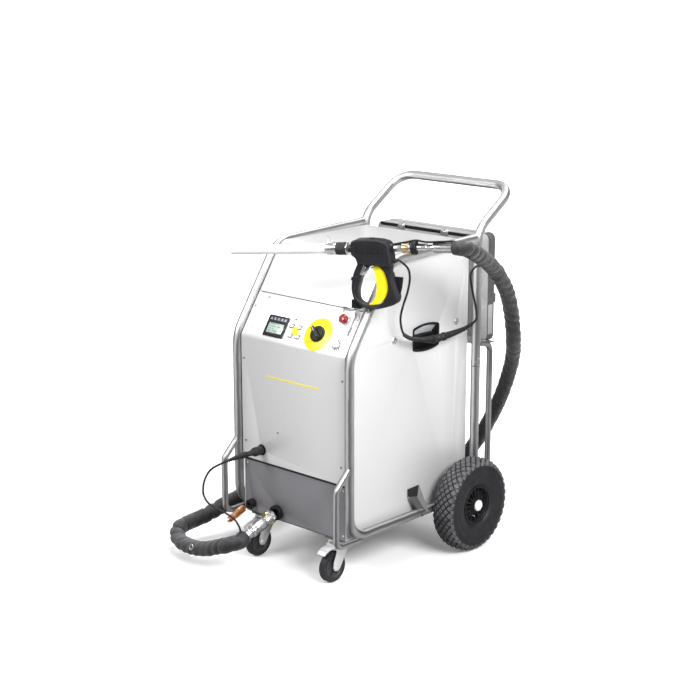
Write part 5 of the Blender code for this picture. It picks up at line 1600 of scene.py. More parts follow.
def build_front_cable():
    at, forward = (PLUG[0], 0, PLUG[1]), (0, -1, 0)
    plug = lathe([(0, 0.072), (0.0062, 0.072), (0.0078, 0.066), (0.0102, 0.0400),
                  (0.0140, 0.0370), (0.0150, 0.0330), (0.0150, 0.0060), (0.0138, 0.0026),
                  (0.0084, 0.0022), (0.0080, -0.0180), (0, -0.0180)], at, forward, 80,
                 soft=0.0012, shape=flutes(16, 0.05, beyond=0.012, low=0.008, high=0.031))
    cord = ribbed(smooth(FRONT_CABLE, 12), 0.0033, [(0.0, 0.095, 0.0108, 0.0048, 0.0072)],
                  0.0010, 24)
    piece("front_cable", [plug, cord], CABLE, "front_signal_cable", sharp=50)
    flange = lathe(ring(0.0185, 0.0086, top=0.0022, low=0.0002), at, forward, 64, soft=0.0005)
    piece("plug_flange", [flange], BLACK)


build_hand_cables()
build_front_cable()

# ================================================================ gun
# measured outlines, each point (u, w)
GRIP_OUTLINE = smooth_loop([
    (-0.0400, -0.0300), (-0.0420, -0.0520), (-0.0462, -0.0627), (-0.0528, -0.0791),
    (-0.0584, -0.1025), (-0.0606, -0.1221), (-0.0599, -0.1362), (-0.0556, -0.1536),
    (-0.0471, -0.1671), (-0.0339, -0.1785), (-0.0170, -0.1855), (0.0036, -0.1888),
    (0.0241, -0.1862), (0.0482, -0.1798), (0.0686, -0.1723), (0.0845, -0.1640),
    (0.0897, -0.1520), (0.0880, -0.1420), (0.0832, -0.1310), (0.0738, -0.1070),
    (0.0672, -0.0864), (0.0640, -0.0674), (0.0650, -0.0500), (0.0600, -0.0300)], 4)
GUARD_OPENING = smooth_loop([
    (0.0105, -0.0514), (-0.0061, -0.0600), (-0.0190, -0.0760), (-0.0298, -0.0925),
    (-0.0365, -0.1150), (-0.0405, -0.1340), (-0.0409, -0.1501), (-0.0370, -0.1630),
    (-0.0270, -0.1722), (-0.0125, -0.1775), (0.0050, -0.1788), (0.0222, -0.1745),
    (0.0400, -0.1632), (0.0505, -0.1500), (0.0568, -0.1320), (0.0580, -0.1125),
    (0.0542, -0.0935), (0.0476, -0.0748), (0.0383, -0.0615), (0.0254, -0.0530)], 4)
TRIGGER_OUTLINE = smooth_loop([
    (0.0100, -0.0545), (0.0240, -0.0555), (0.0365, -0.0640), (0.0455, -0.0760),
    (0.0520, -0.0935), (0.0558, -0.1125), (0.0545, -0.1310), (0.0480, -0.1490),
    (0.0370, -0.1625), (0.0210, -0.1718), (0.0040, -0.1750), (-0.0050, -0.1742),
    (0.0060, -0.1650), (0.0150, -0.1500), (0.0190, -0.1320), (0.0190, -0.1120),
    (0.0165, -0.0920), (0.0125, -0.0760), (0.0085, -0.0620)], 5)
TRIGGER_PIVOT = (0.0060, -0.0600)
HOUSING_OUTLINE = closed_round(
    [(-0.0600, -0.0230), (-0.0605, 0.0150), (-0.0480, 0.0222), (-0.0060, 0.0262),
     (0.0300, 0.0256), (0.0520, 0.0208), (0.0598, 0.0130), (0.0650, -0.0160),
     (0.0715, -0.0440), (0.0600, -0.0530), (-0.0330, -0.0520), (-0.0400, -0.0380)],
    [0.005, 0.007, 0.020, 0.03, 0.03, 0.012, 0.008, 0.02, 0.006, 0.010, 0.008, 0.008])
GUARD_BEAD = smooth([
    (-0.0480, -0.1010), (-0.0520, -0.1220), (-0.0515, -0.1420), (-0.0450, -0.1590),
    (-0.0310, -0.1730), (-0.0110, -0.1820), (0.0060, -0.1838), (0.0300, -0.1795)], 8)


def gun_relief():
    """Raised details: ribs, ridge, lug and guard bead on each side, three ribs on top."""
    ridge = closed_round([(-0.0350, -0.0455), (0.0640, -0.0455), (0.0655, -0.0490),
                          (-0.0330, -0.0490)], [0.0012] * 4, 3)
    lug = closed_round([(-0.0600, -0.0930), (-0.0330, -0.0885), (-0.0330, -0.0985),
                        (-0.0610, -0.1040)], [0.002] * 4, 4)
    top = closed_round([(-0.0420, 0.0200), (0.0440, 0.0200), (0.0280, 0.0264),
                        (-0.0060, 0.0272)], [0.001, 0.001, 0.01, 0.01], 4)
    parts = []
    for v in (-1, 1):
        for k in range(10):
            u = -0.0385 + 0.0080 * k
            parts.append(gun_plate(round_rect(u, u + 0.0042, -0.0155, 0.0030, 0.001, 3),
                                   0.0009, 0.0004, v * 0.0251))
        parts.append(gun_plate(ridge, 0.0012, 0.0006, v * 0.0259))
        parts.append(gun_plate(lug, 0.0022, 0.0010, v * 0.0160))
        parts.append(sweep([gun_point(u, w, v * 0.0150) for u, w in GUARD_BEAD], 0.0026, 14))
    for k in range(3):
        parts.append(gun_plate(top, 0.0008, 0.0004, -0.006 + 0.006 * k))
    return parts


def build_gun_shell():
    shell = gun_plate(GRIP_OUTLINE, 0.0165)
    boolean(shell, gun_plate(GUARD_OPENING, 0.04))
    bevel(shell, 0.0046, 4, 30)
    housing = gun_plate(HOUSING_OUTLINE, 0.0260)
    bevel(housing, 0.0078, 5, 30)
    for v in (-1, 1):
        boolean(housing, gun_plate(round_rect(-0.0430, 0.0440, -0.0175, 0.0050, 0.004, 5),
                                   0.0018, 0, v * 0.0262))
    relief = gun_relief()
    neck = rod(0.0125, gun_point(-0.0725, -0.0092), gun_point(0.0720, 0.0035), 48, 0.001)

    # slot in the grip that the pulled trigger goes into, cut at steps of its swing
    pu, pw = TRIGGER_PIVOT
    for k, degrees in enumerate((1.0, 3.0, 5.0, 7.0, 8.6)):
        c, s = math.cos(math.radians(degrees)), math.sin(math.radians(degrees))
        swung = [(pu + (u - pu) * c - (w - pw) * s, pw + (u - pu) * s + (w - pw) * c)
                 for u, w in TRIGGER_OUTLINE]
        for part in (shell, housing):
            boolean(part, gun_plate(swung, 0.0116 + 0.00007 * k))
    piece("gun_shell", [shell, housing] + relief + [neck], GUN_BLACK, "gun_body", sharp=30)


def build_gun_details():
    inlay = gun_plate(smooth_loop([(0.0655, -0.0740), (0.0730, -0.1000), (0.0830, -0.1260),
                                   (0.0895, -0.1450), (0.0860, -0.1540), (0.0770, -0.1340),
                                   (0.0690, -0.1120), (0.0640, -0.0900)], 5), 0.0170, 0.003)
    piece("gun_grip_inlay", [inlay], SOFT_GRIP)
    screws = []
    for u, w in ((-0.0500, -0.0240), (0.0560, -0.0380), (0.0700, -0.1480), (0.0480, 0.0110),
                 (-0.0510, 0.0100)):
        v = -0.0259 if w > -0.05 else -0.0165
        screws.append(screw(gun_point(u, w, v), GUN_TURN @ Vector((0, -1, 0)),
                            0.0030, 0.0008, 0.0008))
    piece("gun_screws", screws, BLACK)
    trigger = gun_plate(TRIGGER_OUTLINE, 0.0105, 0.0040, seg=4)
    piece("trigger_lever", [trigger], YELLOW, "gun_trigger", "gun_trigger", sharp=40)
    pin = rod(0.0026, gun_point(*TRIGGER_PIVOT, -0.0180), gun_point(*TRIGGER_PIVOT, 0.0180), 24,
              0.0004)
    piece("trigger_pin", [pin], ZINC)
    latch = gun_plate(closed_round([(-0.0120, -0.0590), (-0.0215, -0.0540), (-0.0335, -0.0825),
                                    (-0.0235, -0.0868)], [0.002] * 4, 4), 0.0176, 0.0012)
    piece("latch_lever", [latch], ALUMINIUM, "gun_latch", "gun_latch")
    rest = gun_plate(closed_round([(-0.0640, -0.1650), (-0.0480, -0.1650), (-0.0440, -0.1780),
                                   (-0.0300, -0.1860), (-0.0300, -0.1915), (-0.0640, -0.1915)],
                                  [0.002] * 6, 4), 0.0085, 0.0012, 0.0020)
    piece("holder_rubber_rest", [rest], BLACK)
    pad = gun_plate(closed_round([(0.0620, -0.0870), (0.0962, -0.0868), (0.0935, -0.1170),
                                  (0.0868, -0.1455), (0.0868, -0.1560), (0.0760, -0.1560),
                                  (0.0700, -0.1200)], [0.002] * 7, 4), 0.0050, 0.0012, 0.0110)
    piece("gun_back_pad", [pad], BLACK)


def build_lance():
    start, tip = gun_point(-0.0735, -0.0092), gun_point(-0.4710, -0.0410)
    way = (tip - start).normalized()
    length = (tip - start).length
    outer, groove = 0.0148, 0.0143
    profile = [(0.0088, length - 0.030), (0.0094, length), (0.0138, length),
               (outer, length - 0.002)]
    for back in (0.1030, 0.2050):          # two fine grooves, by distance from the tip
        profile += [(outer, length - back), (groove, length - back - 0.0006),
                    (groove, length - back - 0.0014), (outer, length - back - 0.0020)]
    profile += [(outer, 0.0760), (0.0100, 0.0740), (0.0100, 0.0050), (0.0078, 0.0050)]
    tube = lathe(soft_open(profile, 0.0006), start, way, 64)
    piece("lance_tube", [tube], LANCE, "gun_lance")

    screws = []
    for along in (length - 0.1100, length - 0.2120, length - 0.0060):
        for a in (0.4, 0.4 + PI):
            out = facing(way).to_matrix() @ Vector((math.cos(a), math.sin(a), 0))
            screws.append(lathe([(0, 0.0006), (0.0017, 0.0005), (0.0017, -0.0006),
                                 (0, -0.0006)], start + way * along + out * outer, out, 20))
    piece("lance_set_screws", screws, BLACK)
    lock_ring = lathe(ring(0.0196, 0.0098, top=0.0370, low=0.0080), start, way, 96,
                      soft=0.0012, shape=flutes(32, 0.035, beyond=0.018))
    piece("lance_lock_ring", [lock_ring], SOFT_GRIP)
    piece("lance_nickel_rings", [
        lathe(ring(0.0192, 0.0100, top=0.0715, low=0.0395), start, way, 72, soft=0.0012),
        lathe(ring(0.0180, 0.0098, top=0.0070, low=0.0030), start, way, 64, soft=0.0008)],
        NICKEL)
    bail = smooth([gun_point(-0.1370, 0.0090, -0.010), gun_point(-0.1430, 0.0180, -0.009),
                   gun_point(-0.1470, 0.0225, 0.0), gun_point(-0.1430, 0.0180, 0.009),
                   gun_point(-0.1370, 0.0090, 0.010)], 10)
    piece("lance_wire_bail", [sweep(bail, 0.0011, 12)], ZINC)


def build_gun_swivel():
    """Fittings between the gun and the hose."""
    start = gun_point(0.0725, 0.0035)
    way = (GUN_TURN @ Vector((0.180, 0, 0.0120))).normalized()
    bore = 0.0045
    ferrule = lathe([(0.0152, 0.1835), (0.0152, 0.1250), (0.0128, 0.1232), (0.0088, 0.1220),
                     (0.0086, 0.1040), (0.0124, 0.1030), (0.0126, 0.0722), (bore, 0.0722),
                     (bore, 0.1835)], start, way, 64, soft=0.0010,
                    shape=flutes(8, 0.05, beyond=0.014, low=0.131, high=0.176))
    piece("gun_hose_ferrule", [ferrule], CHROME, "gun_coupling")
    nut = lathe(ring(0.0176, bore, top=0.0548, low=0.0272), start, way, 72, soft=0.0010,
                shape=flutes(18, 0.05, beyond=0.015))
    piece("gun_swivel_brass", [nut], BRASS)
    stem = lathe(ring(0.0128, bore, top=0.0274, low=0.0010), start, way, 6, soft=0.0010)
    collar = lathe(ring(0.0183, 0.0090, top=0.0560, low=0.0500), start, way, 72, soft=0.0006)
    piece("gun_swivel_stem", [stem, collar], CHROME)
    black_ring = lathe(ring(0.0212, bore, top=0.0715, low=0.0565), start, way, 72, soft=0.0014,
                       shape=flutes(20, 0.04, beyond=0.017))
    wire = smooth([gun_point(0.0720, 0.0150, -0.010), gun_point(0.1100, 0.0235, -0.006),
                   gun_point(0.1400, 0.0300, 0.0), gun_point(0.1700, 0.0270, 0.002),
                   gun_point(0.2000, 0.0290, 0.004), gun_point(0.2580, 0.0345, 0.006)], 10)
    piece("gun_swivel_ring", [black_ring, sweep(wire, 0.0030, 16)], BLACK)


def build_gun_holder():
    x = 0.2125
    upright = prism(round_rect(0.2030, 0.2220, 0.8570, 0.9300, 0.004, 5), 0.0715, 0.0738, "Y",
                    soft=0.0006)
    foot = slope_prism(round_rect(-0.0092, 0.0092, -0.0500, 0.0195, 0.003, 5), 0.0004, 0.0030,
                       (x, 0.8440), 0.0006)
    shelf = prism(closed_round([(0.0725, 0.8862), (0.0200, 0.8862), (0.0200, 0.8990),
                                (0.0222, 0.8990), (0.0222, 0.8886), (0.0725, 0.8886)],
                               [0, 0.003, 0.0008, 0.0008, 0.001, 0], 4),
                  0.2032, 0.2320, soft=0.0005)
    screws = [screw(on_slope(x, z, 0.0030), OUT, 0.0034, 0.0014) for z in (0.812, 0.842)]
    piece("holder_bracket", [upright, foot, shelf] + screws, ALUMINIUM, "gun_holder")


build_gun_shell()
build_gun_details()
build_lance()
build_gun_swivel()
build_gun_holder()

# ================================================================ rear wheels
# tread surface: distance from the tyre's middle, radius
TREAD_CROWN = [(0, 0.1580), (0.012, 0.1578), (0.020, 0.1566), (0.027, 0.1542), (0.033, 0.1500),
               (0.0375, 0.1440), (0.0405, 0.1360)]
# half of the carcass: radius, distance from the tyre's middle
CARCASS_HALF = [
    (0.0630, 0.0265), (0.0665, 0.0300), (0.0690, 0.0305), (0.0705, 0.0325), (0.0800, 0.0372),
    (0.0950, 0.0405), (0.1080, 0.0416), (0.1100, 0.0411), (0.1115, 0.0418), (0.1230, 0.0419),
    (0.1245, 0.0411), (0.1320, 0.0400), (0.1400, 0.0372), (0.1450, 0.0345), (0.1500, 0.0300),
    (0.1528, 0.0240), (0.1540, 0.0160), (0.1543, 0.0080), (0.1543, 0.0)]


def tread_radius(v):
    a = abs(v)
    for (x0, r0), (x1, r1) in zip(TREAD_CROWN, TREAD_CROWN[1:]):
        if a <= x1:
            return r0 + (r1 - r0) * (a - x0) / (x1 - x0)
    return TREAD_CROWN[-1][1]


def tread_block(bm, corners):
    """A four-sided block; corners hold (radius, angle, v) of the top and of the foot."""
    top, low = [], []
    for pair in corners:
        for verts, (r, a, v) in zip((top, low), pair):
            verts.append(bm.verts.new((r * math.cos(a), r * math.sin(a), v)))
    bm.faces.new(top)
    bm.faces.new(low[::-1])
    bridge(bm, low, top)


def tread_blocks(hub, side):
    """Seven staggered rows of diamonds and a row of lugs on each shoulder."""
    bm = bmesh.new()
    n, rows, pitch = 36, 7, 0.0106
    for j in range(rows):
        v0 = (j - (rows - 1) / 2) * pitch
        for i in range(n):
            a0 = 2 * PI * (i + (0.5 if j % 2 else 0.0)) / n
            da = 2 * PI / n / 2 * 0.76
            dv = pitch * 0.76
            corners = []
            for a, v in ((a0 - da, v0), (a0, v0 - dv), (a0 + da, v0), (a0, v0 + dv)):
                top_a, top_v = a0 + (a - a0) * 0.84, v0 + (v - v0) * 0.84
                corners.append(((tread_radius(top_v), top_a, top_v),
                                (tread_radius(v) - 0.0062, a, v)))
            tread_block(bm, corners)
    for s in (1, -1):
        for i in range(n):
            a0 = 2 * PI * (i + 0.5) / n
            da = 2 * PI / n / 2 * 0.60
            tread_block(bm, [((r, a, v), (r - 0.0035, a, v - s * 0.0055)) for a, v, r in (
                (a0 - da, s * 0.0372, 0.1478), (a0 + da, s * 0.0372, 0.1478),
                (a0 + da * 0.7, s * 0.0409, 0.1370), (a0 - da * 0.7, s * 0.0409, 0.1370))])
    blocks = solid(bm, hub, facing((side, 0, 0)))
    # the blocks take the lighter tread rubber: painted light on their tops
    blocks["slot_index"] = 1
    return blocks


def build_wheel(side, tag):
    hub, out, body = Vector((side * WHEEL_X, *AXLE)), (side, 0, 0), "wheel_" + tag
    mirrored = [(r, -v) for r, v in reversed(CARCASS_HALF[:-1])]
    carcass = lathe(CARCASS_HALF + mirrored, hub, out, 120)
    piece("tyre_carcass_" + tag, [carcass, tread_blocks(hub, side)], TYRE, "tyre_" + tag, body,
          sharp=30, more_materials=(TREAD_PAINTED_LIGHT, GROOVE_PAINTED_SHADE))

    parts = [lathe([(0.0628, 0.0290), (0.0628, -0.0280), (0.0590, -0.0280), (0.0590, 0.0080),
                    (0.0220, 0.0080), (0.0220, -0.0400), (0.0103, -0.0400), (0.0103, 0.0335),
                    (0.0215, 0.0335), (0.0235, 0.0120), (0.0560, 0.0120), (0.0585, 0.0290)],
                   hub, out, 96, soft=0.0016)]
    turn = facing(out).to_matrix()
    for angle in around(16):
        parts.append(prism([(0.0200, 0.0110), (0.0200, 0.0290), (0.0290, 0.0245),
                            (0.0560, 0.0210), (0.0560, 0.0110)], -0.0016, 0.0016, "Y", hub,
                           spun(turn, angle), 0.0007))
    parts.append(lathe(ring(0.0655, 0.0620, top=0.0330, low=0.0285), hub, out, 96, soft=0.0012))
    for k in range(6):
        a = 2 * PI * (k + 0.25) / 6
        at = hub + turn @ Vector((0.040 * math.cos(a), 0.040 * math.sin(a), 0.0118))
        parts.append(lathe(disc(0.0046, top=0.0052, low=-0.001), at, out, 6, soft=0.0006))
    piece("rim_disc_" + tag, parts, RIM_NYLON, "rim_" + tag, body, sharp=30)
    valve = lathe([(0, 0.0215), (0.0024, 0.0215), (0.0026, 0.0150), (0.0034, 0.0140),
                   (0.0038, 0.0), (0, 0.0)], hub + Vector((side * 0.0120, -0.0170, -0.0330)),
                  out, 28, soft=0.0005)
    piece("tyre_valve_" + tag, [valve], ALUMINIUM, body=body)


def build_axle():
    axle = rod(0.0100, (-0.3404, *AXLE), (0.3404, *AXLE), 40, 0.0006)
    piece("axle_bar", [axle], ZINC, "wheel_axle")
    for side, tag in SIDES:
        cap = lathe([(0, 0.0066), (0.0130, 0.0064), (0.0172, 0.0050), (0.0188, 0.0020),
                     (0.0188, 0.0), (0, 0.0)], (side * 0.3405, *AXLE), (side, 0, 0), 64,
                    soft=0.0012, soft_steps=4)
        piece("hub_cap_" + tag, [cap], PALE_CAP)


for side, tag in SIDES:
    build_wheel(side, tag)
build_axle()

# ================================================================ castors
# side outlines: y from the swivel and z for the fork; y, z from its pivot for the pedal
FORK_OUTLINE = closed_round(
    [(-0.0300, 0.1345), (0.0280, 0.1345), (0.0280, 0.1200), (-0.0200, 0.0440),
     (-0.0280, 0.0390), (-0.0430, 0.0400), (-0.0490, 0.0520), (-0.0470, 0.0700),
     (-0.0340, 0.1000), (-0.0300, 0.1200)],
    [0.004, 0.004, 0.010, 0.008, 0.010, 0.009, 0.008, 0.012, 0.02, 0.01], 5)
PEDAL_OUTLINE = closed_round(
    [(0.0, 0.0040), (0.0042, 0.0000), (0.0, -0.0040), (-0.0300, -0.0075),
     (-0.0520, -0.0200), (-0.0545, -0.0170), (-0.0480, -0.0080), (-0.0300, -0.0010)],
    [0.002, 0.002, 0.002, 0.006, 0.0015, 0.0015, 0.006, 0.01], 4)


def build_castor(side, tag):
    x, y = side * CASTOR_X, CASTOR_Y
    at, axis_y, pivot = (x, y, 0), y - CASTOR_TRAIL, (x, y - 0.0335, 0.1200)

    fork = prism(FORK_OUTLINE, -0.0200, 0.0200, at=at)
    boolean(fork, block((-0.0174, 0.0174), (-0.10, 0.10), (0.0, 0.1318), at))
    bevel(fork, 0.0009, 3)
    parts = [fork, rod(0.0040, (x - 0.0195, axis_y, CASTOR_R), (x + 0.0195, axis_y, CASTOR_R),
                       24)]
    parts.append(lathe([(0, 0.1364), (0.0215, 0.1364), (0.0230, 0.1350), (0.0230, 0.1338),
                        (0.0200, 0.1322), (0, 0.1322)], at, (0, 0, 1), 64, soft=0.0006))
    for way in (-1, 1):
        cheek = x + way * 0.0199
        parts.append(lathe([(0, 0.0030), (0.0062, 0.0030), (0.0066, 0.0), (0, 0.0)],
                           (cheek, axis_y, CASTOR_R), (way, 0, 0), 6, soft=0.0006))
        parts.append(lathe([(0, 0.0014), (0.0062, 0.0014), (0.0070, 0.0), (0, 0.0)],
                           (cheek, *pivot[1:]), (way, 0, 0), 32, soft=0.0004))
    piece("castor_housing_" + tag, parts, FORK_ZINC, "castor_fork_" + tag, "castor_fork_" + tag)

    hub, body = (x, axis_y, CASTOR_R), "castor_wheel_" + tag
    tread = lathe([(CASTOR_R, 0.0090), (CASTOR_R, -0.0090), (0.0470, -0.0130),
                   (0.0360, -0.0130), (0.0360, 0.0130), (0.0470, 0.0130)], hub, (1, 0, 0), 72,
                  soft=0.0022, soft_steps=4)
    piece("castor_tread_" + tag, [tread], CASTOR_RUBBER, body, body)
    parts = [lathe([(0.0359, 0.0122), (0.0359, -0.0122), (0.0320, -0.0122), (0.0290, -0.0070),
                    (0.0140, -0.0070), (0.0120, -0.0150), (0.0044, -0.0150), (0.0044, 0.0150),
                    (0.0120, 0.0150), (0.0140, 0.0070), (0.0290, 0.0070), (0.0320, 0.0122)],
                   hub, (1, 0, 0), 72, soft=0.0010)]
    lay = Matrix(((0, 1, 0), (1, 0, 0), (0, 0, -1)))
    for s in (1, -1):
        for angle in around(6):
            parts.append(prism([(0.0110, s * 0.0060), (0.0110, s * 0.0120),
                                (0.0310, s * 0.0112), (0.0310, s * 0.0060)], -0.0014, 0.0014,
                               "Z", hub, Matrix.Rotation(angle, 3, "X") @ lay, 0.0005))
    piece("castor_core_" + tag, parts, HUB_NYLON, body=body)

    pedal = prism(PEDAL_OUTLINE, -0.0160, 0.0160, at=pivot, soft=0.0010, seg=3)
    grooves = bmesh.new()
    for k in range(4):
        gy, gz = -0.0330 - 0.0050 * k, -0.0018 - 0.0015 * k
        box_bm(grooves, (-0.0120, 0.0120), (gy - 0.0009, gy + 0.0009), (gz, gz + 0.02))
    boolean(pedal, solid(grooves, pivot))
    node = "castor_brake_" + tag
    piece("castor_pedal_" + tag, [pedal], FORK_ZINC, node, node)


for side, tag in SIDES:
    build_castor(side, tag)


# ================================================================ tool case and rack
def build_rack():
    rack_y, top, weld_y = 0.6950, 0.6785, UPRIGHT_Y + TUBE_R
    half = [(weld_y + 0.0010, top), (rack_y, 0.6680), (rack_y, 0.2000)]   # y, z
    line = [(TUBE_X, y, z) for y, z in half] + [(-TUBE_X, y, z) for y, z in half[::-1]]
    rack = sweep(rounded(line, [0.035, 0.05, 0.05, 0.035]), THIN_R)
    shelf = prism(closed_round([(0.6600, 0.6640), (0.7370, 0.6640), (0.7370, 0.6660),
                                (0.6620, 0.6660), (0.6620, 0.6900), (0.6600, 0.6900)],
                               [0.002, 0.0008, 0.0008, 0.0012, 0.0008, 0.0008], 4),
                  -0.2376, 0.2376)
    slots = bmesh.new()
    for k in range(8):
        x = -0.175 + 0.05 * k
        prism_bm(slots, round_rect(x - 0.016, x + 0.016, 0.672, 0.684, 0.005, 5), 0.65, 0.68,
                 "Z")
    boolean(shelf, solid(slots))
    bevel(shelf, 0.0005, 2)
    beads = [weld_bead((side * TUBE_X, weld_y + 0.0008, top), (0, 1, -0.15), THIN_R, 0.0012)
             for side, _ in SIDES]
    piece("rack_frame", [rack, shelf] + beads, TUBE_STEEL, "case_holder")


CASE_FRONT, CASE_BACK, CASE_MID = 0.664, 0.736, 0.7005      # y
CASE_LOW, CASE_TOP, CASE_HALF = 0.667, 1.036, 0.230         # z, z, half width


def case_outline(inset, radius):
    return round_rect(-CASE_HALF + inset, CASE_HALF - inset, CASE_LOW + inset,
                      CASE_TOP - inset, radius)


def case_shell(y_out, y_in, way):
    """One hollow half of the case; way is +1 when its open side faces the rear."""
    shell = prism(case_outline(0, 0.022), *span(y_out, y_in), "Y")
    boolean(shell, prism(case_outline(0.004, 0.018),
                         *span(y_out + way * 0.003, y_in + way * 0.02), "Y"))
    grooves = bmesh.new()       # across the narrow sides
    for z in (CASE_LOW + 0.045, CASE_TOP - 0.045):
        for x in (CASE_HALF, -CASE_HALF):
            box_bm(grooves, (x - 0.0016, x + 0.0016),
                   span(y_out + way * 0.006, y_in - way * 0.006), (z - 0.0015, z + 0.0015))
    boolean(shell, solid(grooves))
    return bevel(shell, 0.0022, 3)


def case_side_rib(side, ys, zs, proud=0.0016, sunk=0.0010, soft=0.0007):
    x = side * CASE_HALF
    return block((x - sunk, x + proud), ys, zs, soft=soft)


RIB_ZS = (CASE_LOW + 0.150, CASE_TOP - 0.030)
LOW_ZS = (CASE_LOW + 0.026, CASE_LOW + 0.128)


def build_case_front():
    shell = case_shell(CASE_FRONT, CASE_MID - 0.0004, 1)
    # a long hand recess under the top front edge, bridged by two bright clasps
    boolean(shell, prism(round_rect(-CASE_HALF + 0.012, CASE_HALF - 0.012, CASE_TOP - 0.0145,
                                    CASE_TOP - 0.0030, 0.004, 5),
                         CASE_FRONT - 0.01, CASE_FRONT + 0.0022, "Y"))
    ribs = [block((x - 0.0040, x + 0.0040), (CASE_FRONT - 0.0012, CASE_FRONT + 0.0010),
                  (CASE_LOW + 0.035, CASE_TOP - 0.045), soft=0.0008)
            for x in (-0.180, -0.108, -0.036, 0.036, 0.108, 0.180)]
    for side, _ in SIDES:
        for y, width in ((0.6700, 0.0040), (0.6800, 0.0100)):
            # the side plate leans out past -x as far as it sinks in past +x
            ribs.append(case_side_rib(side, (y, y + width), RIB_ZS))
        ribs.append(case_side_rib(side, (0.6690, 0.6960), LOW_ZS, soft=0.0010))
    piece("case_front_shell", [shell] + ribs, CASE_GREY, "tool_case_body", "tool_case")
    band = prism(round_rect(-CASE_HALF + 0.0125, CASE_HALF - 0.0125, CASE_TOP - 0.0140,
                            CASE_TOP - 0.0035, 0.0035, 5),
                 CASE_FRONT - 0.0004, CASE_FRONT + 0.0016, "Y", soft=0.0004)
    piece("case_hand_recess", [band], BLACK, body="tool_case")
    clasps = []
    for x in (-0.121, 0.070):
        clasps.append(prism(round_rect(x - 0.016, x + 0.016, CASE_TOP - 0.0190,
                                       CASE_TOP + 0.0010, 0.003, 4),
                            CASE_FRONT - 0.0030, CASE_FRONT + 0.0010, "Y", soft=0.0009))
        clasps.append(block((x - 0.010, x + 0.010), (CASE_FRONT + 0.004, CASE_FRONT + 0.012),
                            (CASE_TOP - 0.0005, CASE_TOP + 0.0022), soft=0.0008))
    piece("case_clasps", clasps, ALUMINIUM, body="tool_case")


def build_case_back():
    shell = case_shell(CASE_BACK, CASE_MID + 0.0004, -1)
    ribs = [prism(round_rect(-0.190 + 0.030 * k, 0.190 - 0.030 * k, CASE_LOW + 0.030 + 0.030 * k,
                             CASE_TOP - 0.030 - 0.030 * k, 0.018, 6), CASE_BACK - 0.0005,
                  CASE_BACK + 0.0012 + 0.0004 * k, "Y", soft=0.0010) for k in range(2)]
    for side, _ in SIDES:
        ribs.append(case_side_rib(side, (0.7080, 0.7150), RIB_ZS))
        ribs.append(case_side_rib(side, (0.7200, 0.7310), RIB_ZS))
        x = side * (CASE_HALF - 0.010)
        ribs.append(block((x - 0.008, x + 0.008), (CASE_BACK - 0.0020, CASE_BACK + 0.0130),
                          (0.7980, 0.8290), soft=0.0030))
    piece("case_back_shell", [shell] + ribs, CASE_DARK, "tool_case_lid", "tool_case_lid")
    bands = [prism(round_rect(-CASE_HALF + 0.024, CASE_HALF - 0.024, CASE_MID + 0.0030,
                              CASE_BACK - 0.0060, 0.003, 4),
                   CASE_TOP - 0.0004, CASE_TOP + 0.0009, "Z", soft=0.0004)]
    bands += [case_side_rib(side, (CASE_MID + 0.0035, CASE_BACK - 0.0080), LOW_ZS,
                            proud=0.0010, sunk=0.0006, soft=0.0005) for side, _ in SIDES]
    piece("case_back_bands", bands, CASE_GREY, body="tool_case_lid")


def build_case_seal():
    line = [(x, CASE_MID, z) for x, z in case_outline(0.0022, 0.020)]
    rubber_strip = sweep(line + line[:1], 0.0016, 10, cap=False)
    # the number belongs to the object's name
    piece("case_seal.001", [rubber_strip], RUBBER, body="tool_case")


build_rack()
build_case_front()
build_case_back()
build_case_seal()

# ================================================================ inside
# CAD nodes that keep their own shape and only get a material and merged vertices
for node, material in (
        ("ice_hopper", HOPPER_STEEL), ("dosing_housing", ZINC), ("dosing_rotor", ZINC),
        ("pressure_regulator", BLACK), ("air_valve", BRASS), ("air_pipe", BRASS),
        ("blast_pipe", TUBE_STEEL), ("dosing_motor", BASE_PAINT), ("control_box", BLACK)):
    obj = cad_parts[node]
    obj.data.materials.clear()
    obj.data.materials.append(material)
    weld = obj.modifiers.new("weld", "WELD")
    weld.merge_threshold = 0.00002
    for polygon in obj.data.polygons:
        polygon.use_smooth = False


def build_hopper_seal():
    x, y0, y1, z = 0.194, 0.221, 0.586, 0.977
    line = [(0, y0, z), (x, y0, z), (x, y1, z), (-x, y1, z), (-x, y0, z), (0, y0, z)]
    rubber_strip = sweep(rounded(line, [0.03] * 4, 8), 0.0048, 20, cap=False)
    piece("hopper_seal", [rubber_strip], GASKET)


build_hopper_seal()
bpy.data.collections.remove(WORK)


# ================================================================ stage
def build_floor():
    """A floor that curves up into a back wall, square to the camera."""
    half, bend_start, bend_radius, wall_top = 14.0, 2.6, 3.0, 9.0
    profile = [(-half, 0.0), (bend_start, 0.0)]         # distance away from camera, height
    for k in range(1, 17):
        a = PI / 2 * k / 16
        profile.append((bend_start + bend_radius * math.sin(a),
                        bend_radius - bend_radius * math.cos(a)))
    profile.append((bend_start + bend_radius, wall_top))
    away = Vector((-math.sin(CAMERA_YAW), math.cos(CAMERA_YAW), 0))
    right = Vector((math.cos(CAMERA_YAW), math.sin(CAMERA_YAW), 0))
    bm = bmesh.new()
    rows = [[bm.verts.new(away * d + right * x + Vector((0, 0, z - 0.0004)))
             for x in (-half, half)] for d, z in profile]
    for a, b in zip(rows, rows[1:]):
        bm.faces.new((a[0], a[1], b[1], b[0])).smooth = True
    mesh = bpy.data.meshes.new("studio_floor")
    bm.to_mesh(mesh)
    bm.free()
    mesh.materials.append(studio_floor())
    floor = bpy.data.objects.new("studio_floor", mesh)
    SCENE.collection.objects.link(floor)


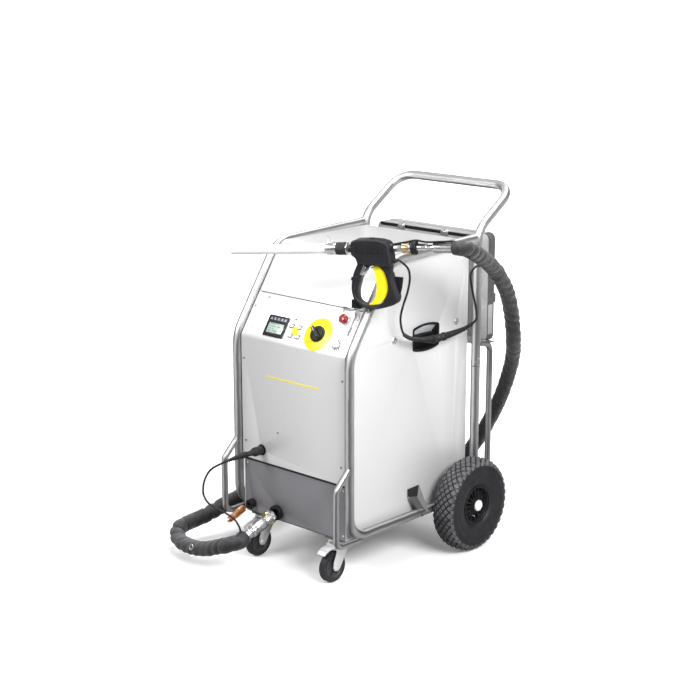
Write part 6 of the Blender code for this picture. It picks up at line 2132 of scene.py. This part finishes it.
def build_world():
    """Grey studio surroundings; the camera itself sees plain white beyond the floor."""
    world = bpy.data.worlds.new("studio")
    SCENE.world = world
    world.use_nodes = True
    nodes, links = world.node_tree.nodes, world.node_tree.links
    studio = nodes["Background"]
    studio.inputs["Strength"].default_value = 0.55
    coords = nodes.new("ShaderNodeTexCoord")
    separate = nodes.new("ShaderNodeSeparateXYZ")
    ramp = nodes.new("ShaderNodeValToRGB")
    links.new(coords.outputs["Generated"], separate.inputs[0])
    links.new(separate.outputs["Z"], ramp.inputs["Fac"])
    links.new(ramp.outputs["Color"], studio.inputs["Color"])
    elements = ramp.color_ramp.elements
    elements[0].position = 0.0
    elements[0].color = (0.30, 0.30, 0.305, 1)
    elements[1].position = 0.22
    elements[1].color = (0.34, 0.34, 0.345, 1)
    for position, value in ((0.42, 0.72), (0.75, 0.95), (1.0, 0.62)):
        elements.new(position).color = (*grey(value), 1)
    white = nodes.new("ShaderNodeBackground")
    white.inputs["Color"].default_value = (1, 1, 1, 1)
    ray = nodes.new("ShaderNodeLightPath")
    pick = nodes.new("ShaderNodeMixShader")
    links.new(ray.outputs["Is Camera Ray"], pick.inputs[0])
    links.new(studio.outputs[0], pick.inputs[1])
    links.new(white.outputs[0], pick.inputs[2])
    links.new(pick.outputs[0], nodes["World Output"].inputs["Surface"])


def add_light(name, at, target, width, height, watts):
    light = bpy.data.lights.new(name, "AREA")
    light.shape = "RECTANGLE"
    light.size, light.size_y = width, height
    light.energy = watts
    obj = bpy.data.objects.new(name, light)
    SCENE.collection.objects.link(obj)
    obj.location = at
    obj.rotation_euler = (Vector(target) - Vector(at)).to_track_quat("-Z", "Y").to_euler()


def add_camera():
    data = bpy.data.cameras.new("camera")
    data.lens = 80.97
    data.sensor_width = 36
    data.clip_end = 60
    camera = bpy.data.objects.new("camera", data)
    SCENE.collection.objects.link(camera)
    camera.location = CAMERA_PLACE + SHIFT
    camera.rotation_euler = (math.radians(75.862), 0, CAMERA_YAW)
    SCENE.camera = camera


build_floor()
build_world()
add_light("key", at=(2.9, -0.7, 2.45), target=(0, 0.15, 0.92), width=2.0, height=1.3, watts=170)
add_light("front", at=(-1.3, -3.0, 2.9), target=(0, 0, 0.98), width=1.9, height=1.3, watts=94)
add_light("top", at=(0.2, 0.2, 3.8), target=(0, 0, 0.8), width=2.0, height=2.0, watts=84)
add_light("edge", at=(-3.2, 1.8, 2.2), target=(0, 0, 0.6), width=1.2, height=2.4, watts=34)
SCENE.view_settings.view_transform = "Standard"
SCENE.view_settings.look = "None"
add_camera()
